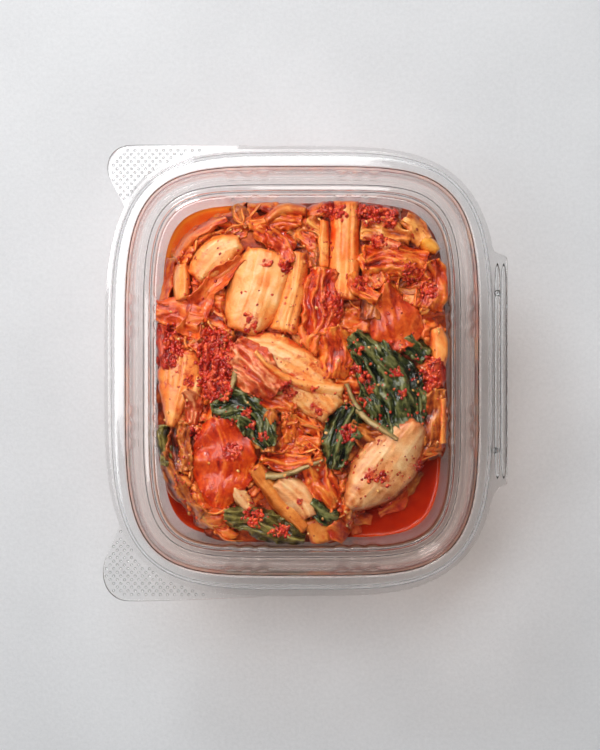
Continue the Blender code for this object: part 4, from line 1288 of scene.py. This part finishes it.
# Dried chili: skin side dark and glossy, flesh side brighter, from bit to bit.
chili_flake, tree = new_material("dried_chili_flake")
where = add_node(tree, "ShaderNodeTexCoord")
bits = add_node(tree, "ShaderNodeTexVoronoi", {"Scale": 1.0 / (BIT_SIZE * MM)},
                {"Vector": (where, "Object")})
parts = add_node(tree, "ShaderNodeSeparateColor", {}, {0: (bits, "Color")})
tone = colour_ramp(tree, (parts, 0), list(zip(FLAKE_PLACES, FLAKE_TONES)))
finish_surface(tree, {"Roughness": 0.3, "Coat Weight": 0.4, "Coat Roughness": 0.1},
               {"Base Color": (tone, "Color")})

# Chili seed: smooth, waxy and straw coloured, stained by the oil.
chili_seed, tree = new_material("chili_seed")
tone = colour_ramp(tree, (noise_texture(tree, SEED_STAIN), "Fac"), [(0.35, "#E08A38"), (0.65, "#F8CC84")])
finish_surface(tree, {"Roughness": 0.25, "Subsurface Weight": 0.1, "Subsurface Scale": 0.001},
               {"Base Color": (tone, "Color")})

for name, kind in CRUMBS.items():
    carrier = mesh_object("landing_" + name, landing_points, landing_quads)
    set_channel(carrier.data, "how_many", channels[name])
    numbers = {"Density": kind["density"] / MM**2, "Smallest": kind["smallest"] * MM,
               "Largest": kind["largest"] * MM, "Flatness": kind["flat"], "Seed": kind["seed"]}
    tree, given, output = geometry_tree(name + "_tree", list(numbers))
    held = add_node(tree, "GeometryNodeInputNamedAttribute", {"data_type": "FLOAT", "Name": "how_many"})
    often = add_node(tree, "ShaderNodeMath", {"operation": "MULTIPLY"},
                     {0: (held, 0), 1: (given, "Density")})
    spots = add_node(tree, "GeometryNodeDistributePointsOnFaces", {"distribute_method": "RANDOM"},
                     {"Mesh": (given, 0), "Density": (often, 0), "Seed": (given, "Seed")})
    bit = add_node(tree, "GeometryNodeMeshIcoSphere", {"Radius": 1.0, "Subdivisions": 1})
    lying_flat = add_node(tree, "ShaderNodeCombineXYZ", {0: 1.0, 1: 0.75}, {2: (given, "Flatness")})
    shaped = add_node(tree, "GeometryNodeTransform", {}, {"Geometry": (bit, 0), "Scale": (lying_flat, 0)})
    size = add_node(tree, "FunctionNodeRandomValue", {"data_type": "FLOAT"},
                    {2: (given, "Smallest"), 3: (given, "Largest"), "Seed": (given, "Seed")})
    spin = add_node(tree, "FunctionNodeRandomValue", {"data_type": "FLOAT_VECTOR", 0: (-0.5, -0.5, 0.0),
                                                      1: (0.5, 0.5, 6.28)}, {"Seed": (given, "Seed")})
    placed = add_node(tree, "GeometryNodeInstanceOnPoints", {},
                      {"Points": (spots, 0), "Instance": (shaped, 0), "Rotation": (spin, 0),
                       "Scale": (size, 1)})
    finish_tree(tree, (placed, 0), output, chili_seed if name == "seeds" else chili_flake)
    belongs_to_heap(grown("chili_" + name, carrier, tree, numbers))


# The brine
# Orange-red pickling liquid, cloudy with chili, standing in three corners. It
# wets the wall. Its colour has light painted in: brighter along the wall, near its surface and on the lamp's
# side.
BRINE_ANGLES = 360
BRINE_STEPS = 18
MENISCUS = 0.9
# The pool on the upper left, the lamp's side, is painted lighter.
SHALLOW_POOL = (133.0, 34.0)
BRINE_RINGS = (FLOOR_TOP, 2.5, 5.0, 10.0, 15.0, 20.0, BRINE_LEVEL + MENISCUS)
SHALLOW_TONE = 0.55
BRINE_SWIRL = 7.0
BRINE_TONES = [(0.05, "#98180A"), (0.3, "#C4300E"), (0.6, "#E25014"), (1.0, "#F48A2C")]

# Cloudy chili brine: deep red in the pool, orange where light is painted in, with a mirror surface.
brine_finish, tree = new_material("chili_brine")
edge = add_node(tree, "ShaderNodeAttribute", {"attribute_name": "edge"})
swirl = noise_texture(tree, BRINE_SWIRL, {"Detail": 5.0, "Distortion": 1.0})
level = add_node(tree, "ShaderNodeMath", {"operation": "MULTIPLY_ADD", 1: 0.35},
                 {0: (swirl, "Fac"), 2: (edge, "Fac")})
depth = colour_ramp(tree, (level, 0), BRINE_TONES)
finish_surface(tree, {"Roughness": 0.08, "IOR": 1.36, "Subsurface Weight": 0.3, "Subsurface Scale": 0.003,
                      "Subsurface Radius": (1.0, 0.3, 0.1)},
               {"Base Color": (depth, "Color")})

turn = np.linspace(0.0, 2.0 * math.pi, BRINE_ANGLES, endpoint=False)
# Painted light on the pool that faces the lamp.
shallow_middle, shallow_spread = SHALLOW_POOL
shallow = SHALLOW_TONE * np.exp(-((np.degrees(turn) - shallow_middle) / shallow_spread) ** 4)


def brine_wall(level):
    """Just inside the PET's own thickness, so that no air gap shows at the wall."""
    return ring_reach(turn, profile_half(level)) - 0.6 * PET_WALL


rings, edges = [], []
for level in BRINE_RINGS:
    rings.append((brine_wall(level), np.full_like(turn, level)))
    # Painted shade: darker deeper down the wall, lighter towards the surface.
    edges.append(np.full_like(turn, 0.05 + 0.45 * (level / BRINE_LEVEL) ** 2))
inner = core_reach(turn, BRINE_LEVEL) - 1.0
outer = brine_wall(BRINE_LEVEL + MENISCUS)
for step in range(1, BRINE_STEPS + 1):
    reach = outer + (inner - outer) * (step / BRINE_STEPS) ** 1.7
    away = outer - reach
    ripple = 0.12 * gradient_noise(reach * np.cos(turn) / 4.0, reach * np.sin(turn) / 4.0, 88)
    rings.append((reach, BRINE_LEVEL + MENISCUS * np.exp(-away / 0.8) + ripple * smoothstep(0.5, 2.0, away)))
    # Painted light: a bright line where the brine meets the wall, strongest on the lamp's side.
    rim_glow = (0.4 + 0.6 * shallow / SHALLOW_TONE) * 0.75 * np.exp(-(away / 1.6) ** 2)
    edges.append(rim_glow + 0.9 * shallow)
for level in (BRINE_LEVEL - 3.0, FLOOR_TOP):
    rings.append((inner - 1.0, np.full_like(turn, level)))
    edges.append(np.zeros_like(turn))
points = np.concatenate([np.stack([r * np.cos(turn), r * np.sin(turn), h], axis=-1) for r, h in rings])
faces = [tuple(reversed(face)) for face in ring_faces(len(rings), BRINE_ANGLES, closed=True)]
brine = mesh_object("brine_pool", points, faces, brine_finish)
set_channel(brine.data, "edge", np.concatenate(edges))
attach(brine, TUB_BODY)
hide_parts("brine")
